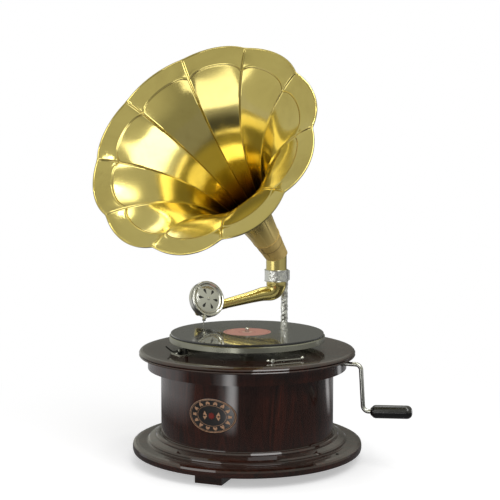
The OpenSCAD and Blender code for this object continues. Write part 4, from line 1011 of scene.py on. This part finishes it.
class GRAMOPHONE_OT_plaque(bpy.types.Operator):
    """Builds the oval plaque with a plain ornament of leaves round a rosette"""
    bl_idname = "gramophone.plaque"
    bl_label = "Plaque"
    TURN = -2.0
    HALF_W, HALF_H = 40.0, 26.5
    FACE = DRUM_R + 0.8
    STEPS = 96
    RINGS = ((1.0, -0.8), (1.0, -0.1), (0.992, 0.0), (0.9, 0.0), (0.6, 0.0), (0.3, 0.0), (0.02, 0.0))
    # Oval lines: (share of the plaque's size, half width)
    LINES = ((0.972, 0.5), (0.915, 0.28), (0.6, 0.28))
    BORDER = 0.65                # where the border's leaves stand, as a share of the plaque's size
    LEAF_H = 0.25

    def on_drum(self, x, z, lift):
        """A point of the plaque: x and z from its middle, lift off its face."""
        a = radians(-90 + self.TURN) + x / DRUM_R
        r = self.FACE + lift
        return [r * cos(a), r * sin(a), PLAQUE_Z + z]

    def oval(self, share, lift):
        """Points round the plaque at a share of its size."""
        return [self.on_drum(self.HALF_W * share * cos(t), self.HALF_H * share * sin(t), lift)
                for t in around(self.STEPS)]

    def leaf(self, x, z, angle, length, width, lift):
        """A pointed leaf lying on the plaque, from its stalk outwards."""
        shape = [(0, 0), (0.25, 0.4), (0.5, 0.5), (0.78, 0.32), (1, 0), (0.78, -0.32), (0.5, -0.5), (0.25, -0.4)]
        c, s = cos(angle), sin(angle)
        low, high = [], []
        for along, side in shape:
            px, pz = x + along * length * c - side * width * s, z + along * length * s + side * width * c
            low.append(self.on_drum(px, pz, -0.15))
            high.append(self.on_drum(px, pz, lift))
        spine = self.on_drum(x + 0.5 * length * c, z + 0.5 * length * s, lift + 0.12)
        n = len(shape)
        faces = [[i, (i + 1) % n, n + (i + 1) % n, n + i] for i in range(n)]
        faces += [[n + i, n + (i + 1) % n, 2 * n] for i in range(n)]
        return low + high + [spine], faces

    def execute(self, context):
        verts = [p for share, lift in self.RINGS for p in self.oval(share, lift)]
        faces = tube_faces(len(self.RINGS), self.STEPS)
        put("plaque_plate", verts, faces, "case", "dark_plate", stands_for=("plaque",))
        lines = [wire(self.oval(share, 0.0), thick, 8, True) for share, thick in self.LINES]
        count = context.scene.gramophone_case.plaque_leaves
        for k in range(count):
            t = 2 * pi * (k + 0.5) / count
            x, z = self.HALF_W * self.BORDER * cos(t), self.HALF_H * self.BORDER * sin(t)
            lean = atan2(z / self.HALF_H, x / self.HALF_W) + (0.55 if k % 2 else -0.55)
            lines.append(self.leaf(x, z, lean, 8.0 if abs(cos(t)) > 0.5 else 6.0, 3.2, self.LEAF_H))
        for side in (-1, 1):
            for k in range(4):
                x, z, lean = side * (7.5 + 2.2 * k), 1.2 * sin(k), radians(90 - side * (62 - 34 * k))
                lines.append(self.leaf(x, z, lean, 6.5 - 0.6 * k, 2.6, self.LEAF_H))
                lines.append(self.leaf(x, -z - 1, -lean, 6.0 - 0.6 * k, 2.4, self.LEAF_H))
        put("plaque_ornament", *joined(lines), "case", "dark_plate", "copper_print")
        rosette = [self.leaf(0, 0, t, 5.6, 3.4, 0.45) for t in around(8)]
        put("plaque_rosette", *joined(rosette), "case", "dark_plate", "red_print")
        return {"FINISHED"}


class GRAMOPHONE_OT_bell(bpy.types.Operator):
    """Builds the horn's ten petals and its rolled rim"""
    bl_idname = "gramophone.bell"
    bl_label = "Bell"
    SEAM_W, CREASE_W = 0.3, 0.26     # half widths of the fine lines
    LINE_PAST = 3.1                  # what the crease's line lies behind the crease

    def execute(self, context):
        horn = context.scene.gramophone_horn
        seam_h, crease_h = horn.seam_height / MM, horn.crease_height / MM
        for k in range(PETALS):
            put(f"bell_petal_{k + 1}", *petal_mesh(k, seam_h, crease_h), "horn", "horn_brass", "bell_brass",
                (f"horn_petal_{k + 1}",), 50)
        put("bell_rim", *rim_mesh(), "horn", "horn_brass", "bell_brass", ("horn_rim",), 60)
        seams, creases = [], []
        down = np.linspace(1.5, BELL_L - 4, 60)
        for k in range(PETALS):
            start = SEAM_START + PETAL_A * k
            seams.append(wire(from_bell(sheet(down, 0.0 * down, start, -0.3 * seam_h)),
                              self.SEAM_W * np.clip(flare(down) / RIB_FULL_R, 0.4, 1), 6))
            u = np.linspace(0.025, 0.975, 40)
            d = CREASE_D + self.LINE_PAST + 4.2 * np.abs(2 * u - 1) ** 6
            creases.append(wire(from_bell(sheet(d, u, start, -0.12)), self.CREASE_W, 6))
        put("bell_seam_lines", *joined(seams), "horn", "horn_brass", "seam_brass")
        put("bell_crease_lines", *joined(creases), "horn", "horn_brass", "seam_brass")
        return {"FINISHED"}


class GRAMOPHONE_OT_neck(bpy.types.Operator):
    """Finishes the neck and the elbow tube and adds their soldered seams"""
    bl_idname = "gramophone.neck"
    bl_label = "Neck"
    JOINT, LIFT = 0.34, 0.05
    BAND = ((-0.035, -0.2), (-0.03, 0.75), (0.03, 0.75), (0.06, 0.4), (0.065, -0.2))

    def execute(self, context):
        dress("horn_neck", "horn_elbow")
        turns = range(0, 360, 6)
        seams = [wire([neck_point(self.JOINT, a, self.LIFT) for a in turns], 0.6, 8, True)]
        for first, last, angle in ((0.02, self.JOINT, 96), (self.JOINT, 0.93, 84)):
            for turn, reach, thick in ((angle, last, 0.7), (angle + 180, last * 0.9, 0.4)):
                seams.append(wire([neck_point(t, turn, self.LIFT) for t in np.linspace(first, reach, 14)], thick, 8))
        put("neck_seams", *joined(seams), "horn", "old_brass", "solder")
        band = [neck_point(share, a, lift) for share, lift in self.BAND for a in turns]
        put("neck_band", band, grid_faces(len(self.BAND), len(turns), True, True), "horn", "old_brass", crease=30)
        return {"FINISHED"}


class GRAMOPHONE_OT_support(bpy.types.Operator):
    """Finishes the collar and the leg and adds the collar's edge beads"""
    bl_idname = "gramophone.support"
    bl_label = "Horn support"
    COLLAR_R, BEAD_R = 20.5, 0.7
    LEG_R, FOOT_H = 6.0, 11

    def leg_r(self, z, t):
        """Radius of the rough casting round the leg, wider under the collar."""
        rough = 0.35 * sin(0.31 * z + 2 * t) + 0.25 * sin(0.83 * z - 3 * t + 1)
        return self.LEG_R + rough + 0.7 * max(0, (z - COLLAR_LOW + 12) / 12)

    def execute(self, context):
        dress("support_leg", "horn_collar")
        beads = []
        inset = 0.9
        for z in (COLLAR_LOW + inset, COLLAR_LOW + COLLAR_H - inset):
            ring = [PIVOT + [self.COLLAR_R * cos(t), self.COLLAR_R * sin(t), z] for t in around(96)]
            beads.append(wire(ring, self.BEAD_R, 8, True))
        put("collar_beads", *joined(beads), "case", "nickel")
        heights, sides = np.linspace(BOARD_TOP + self.FOOT_H, COLLAR_LOW - LIP, 46), 28
        leg = [LEG_AT + [self.leg_r(z, t) * cos(t), self.leg_r(z, t) * sin(t), z]
               for z in heights for t in around(sides)]
        faces = grid_faces(len(heights), sides, False, True)
        put("leg_casting", leg, faces, "case", "nickel", "cast_nickel", crease=60)
        return {"FINISHED"}


class GRAMOPHONE_OT_tone_arm(bpy.types.Operator):
    """Builds the smooth tone arm"""
    bl_idname = "gramophone.tone_arm"
    bl_label = "Tone arm"

    def execute(self, context):
        put("arm_tube", *tone_arm_mesh(), "tonearm", "horn_brass", stands_for=("tone_arm",), crease=50)
        return {"FINISHED"}


class GRAMOPHONE_OT_soundbox(bpy.types.Operator):
    """Finishes the soundbox and adds its knurled rim, hub and screws"""
    bl_idname = "gramophone.soundbox"
    bl_label = "Soundbox"
    KNURL_R, GASKET_R, DOME_R = 29.9, 31.15, 22.5
    BEAD = ((0.05, -0.5), (0.7, -0.2), (0.75, 0.1), (0.5, 0.45), (0.05, 0.6))
    HUB_HEAD, BACK_HEAD = (2.6, 1.5), (2.0, 1.4)
    BACK_SCREWS, BACK_R, BACK_Z = (40, 160, 280), 19, -16.9
    DROPS, DROP_TURN = 6, 15
    # Half of an opening's outline: (distance from the middle, half width)
    DROP = ((9.0, 0.3), (10.8, 0.8), (12.6, 1.5), (14.2, 2.1), (15.8, 2.4), (17.2, 2.1), (18.2, 1.2))

    def ring(self, r, z, radius, sides):
        """A round bead about the soundbox's axis."""
        return wire([from_box(r * cos(t), r * sin(t), z) for t in around(sides)], radius, 8, True)

    def execute(self, context):
        dress("soundbox_elbow", "soundbox_shell", "soundbox_diaphragm", "soundbox_face", "stylus_bar", "needle")
        beads = [turned(self.BEAD, from_box(self.KNURL_R * cos(t), self.KNURL_R * sin(t), -0.25), BOX_OUT, 8)
                 for t in around(context.scene.gramophone_metal.knurl_beads)]
        put("soundbox_knurl", *joined(beads), "soundbox", "nickel", crease=60)
        rings = [self.ring(r, z, thick, 72) for r, z, thick in ((24.6, -1.7, 0.5), (8.4, -2.75, 0.45))]
        rings += slotted_head(from_box(0, 0, -0.75), BOX_OUT, *self.HUB_HEAD)
        put("soundbox_rings", *joined(rings), "soundbox", "nickel")
        self.dish()
        # Painted shade: a thin dark ring round the side wall, where the face meets the shell
        backs = [self.ring(self.GASKET_R, -4.3, 0.35, 96)]
        for turn in self.BACK_SCREWS:
            t = radians(turn)
            at = from_box(self.BACK_R * cos(t), self.BACK_R * sin(t), self.BACK_Z)
            backs += slotted_head(at, -BOX_OUT, *self.BACK_HEAD)
        put("soundbox_backing", *joined(backs), "soundbox", "dark_steel")
        return {"FINISHED"}

    def rise(self, r):
        """Height of the domed cover, r from its middle."""
        return -0.9 - 2.0 * (r / self.DOME_R) ** 2

    def dish(self):
        """The domed cover inside the face ring, and dark plates on it that paint the shade inside its openings."""
        radii = (self.DOME_R, 21.8, 20, 18, 16, 14, 12, 10, 8, 6, 4, 2, 0.3)
        cover = turned([(self.DOME_R, -3.3)] + [(r, self.rise(r)) for r in radii], from_box(0, 0, 0), BOX_OUT, 72)
        put("soundbox_dome", *cover, "soundbox", "nickel", "stamped_nickel", crease=60)
        edge = [*self.DROP, (18.6, 0), *((r, -w) for r, w in self.DROP[::-1])]
        n = len(edge)
        faces = [list(range(n))] + [[i, n + i, n + (i + 1) % n, (i + 1) % n] for i in range(n)]
        drops = []
        for k in range(self.DROPS):
            a = radians(360 / self.DROPS * k + self.DROP_TURN)
            c, s = cos(a), sin(a)
            drops.append(([from_box(r * c - wide * w * s, r * s + wide * w * c, self.rise(hypot(r, w)) + lift)
                           for wide, lift in ((1, 0.12), (1.1, -0.2)) for r, w in edge], faces))
        # Painted shade: dark lacquer plates lying on the dome stand in for the shadowed openings
        put("soundbox_opening_shade", *joined(drops), "soundbox", "dark_steel", "opening")


class GRAMOPHONE_OT_turntable(bpy.types.Operator):
    """Finishes the platter, the record, its label and the spindle"""
    bl_idname = "gramophone.turntable"
    bl_label = "Turntable"

    def execute(self, context):
        dress("platter", "platter_mat", "record", "record_label", "turntable_spindle")
        return {"FINISHED"}


class GRAMOPHONE_OT_levers(bpy.types.Operator):
    """Finishes the brake and the speed lever and adds their screws"""
    bl_idname = "gramophone.levers"
    bl_label = "Levers"
    BRAKE_TURN = -129
    SCREWS_AT = ((117.0, 10.0), (127.5, -3.0))
    PLATE_H = 1.5
    HEAD = 2.0, 1.0

    def execute(self, context):
        dress("brake_plate", "brake_lever", "speed_lever", "regulator_arm")
        c, s = cos(radians(self.BRAKE_TURN)), sin(radians(self.BRAKE_TURN))
        heads = []
        for x, y in self.SCREWS_AT:
            heads += slotted_head([x * c - y * s, x * s + y * c, BOARD_TOP + self.PLATE_H], UP, *self.HEAD)
        put("brake_screws", *joined(heads), "case", "nickel")
        return {"FINISHED"}


class GRAMOPHONE_OT_crank(bpy.types.Operator):
    """Finishes the crank and its grip"""
    bl_idname = "gramophone.crank"
    bl_label = "Crank"

    def execute(self, context):
        dress("crank_rod", "crank_handle", "winding_shaft")
        return {"FINISHED"}


class GRAMOPHONE_OT_motor(bpy.types.Operator):
    """Finishes the spring motor inside the case"""
    bl_idname = "gramophone.motor"
    bl_label = "Motor"

    def execute(self, context):
        dress("motor_bedplate", "motor_lower_plate", "motor_pillars", "governor_bearings", "click", "spring_barrel",
              "barrel_cover", "mainspring", "barrel_arbor", "winding_wheel", "ratchet_wheel", "second_arbor",
              "second_wheel", "worm_wheel", "governor_shaft", "governor_springs", "governor_disc")
        return {"FINISHED"}


class GRAMOPHONE_PT_panel(bpy.types.Panel):
    """Lists the gramophone's settings and the steps that build it"""
    bl_label = "Gramophone"
    bl_idname = "GRAMOPHONE_PT_panel"
    bl_space_type = "VIEW_3D"
    bl_region_type = "UI"
    bl_category = "Gramophone"

    def draw(self, context):
        for key in SETTINGS:
            box = self.layout.box()
            group = getattr(context.scene, key)
            for field in group.bl_rna.properties.keys():
                if field not in ("rna_type", "name"):
                    box.prop(group, field)
        for step in STEPS:
            self.layout.operator(step.bl_idname)


SETTINGS = {"gramophone_horn": HornSettings, "gramophone_case": CaseSettings, "gramophone_metal": MetalSettings,
            "gramophone_disc": DiscSettings, "gramophone_stage": StageSettings}
STEPS = (GRAMOPHONE_OT_stage, GRAMOPHONE_OT_case, GRAMOPHONE_OT_plaque, GRAMOPHONE_OT_bell, GRAMOPHONE_OT_neck,
         GRAMOPHONE_OT_support, GRAMOPHONE_OT_tone_arm, GRAMOPHONE_OT_soundbox, GRAMOPHONE_OT_turntable,
         GRAMOPHONE_OT_levers, GRAMOPHONE_OT_crank, GRAMOPHONE_OT_motor)


def register():
    for cls in (*SETTINGS.values(), *STEPS, GRAMOPHONE_PT_panel):
        bpy.utils.register_class(cls)
    for key, cls in SETTINGS.items():
        setattr(bpy.types.Scene, key, PointerProperty(type=cls))


def unregister():
    for key in SETTINGS:
        delattr(bpy.types.Scene, key)
    for cls in reversed((*SETTINGS.values(), *STEPS, GRAMOPHONE_PT_panel)):
        bpy.utils.unregister_class(cls)


def main():
    register()
    for step in STEPS:
        group, name = step.bl_idname.split(".")
        getattr(getattr(bpy.ops, group), name)()


if __name__ == "__main__":
    main()
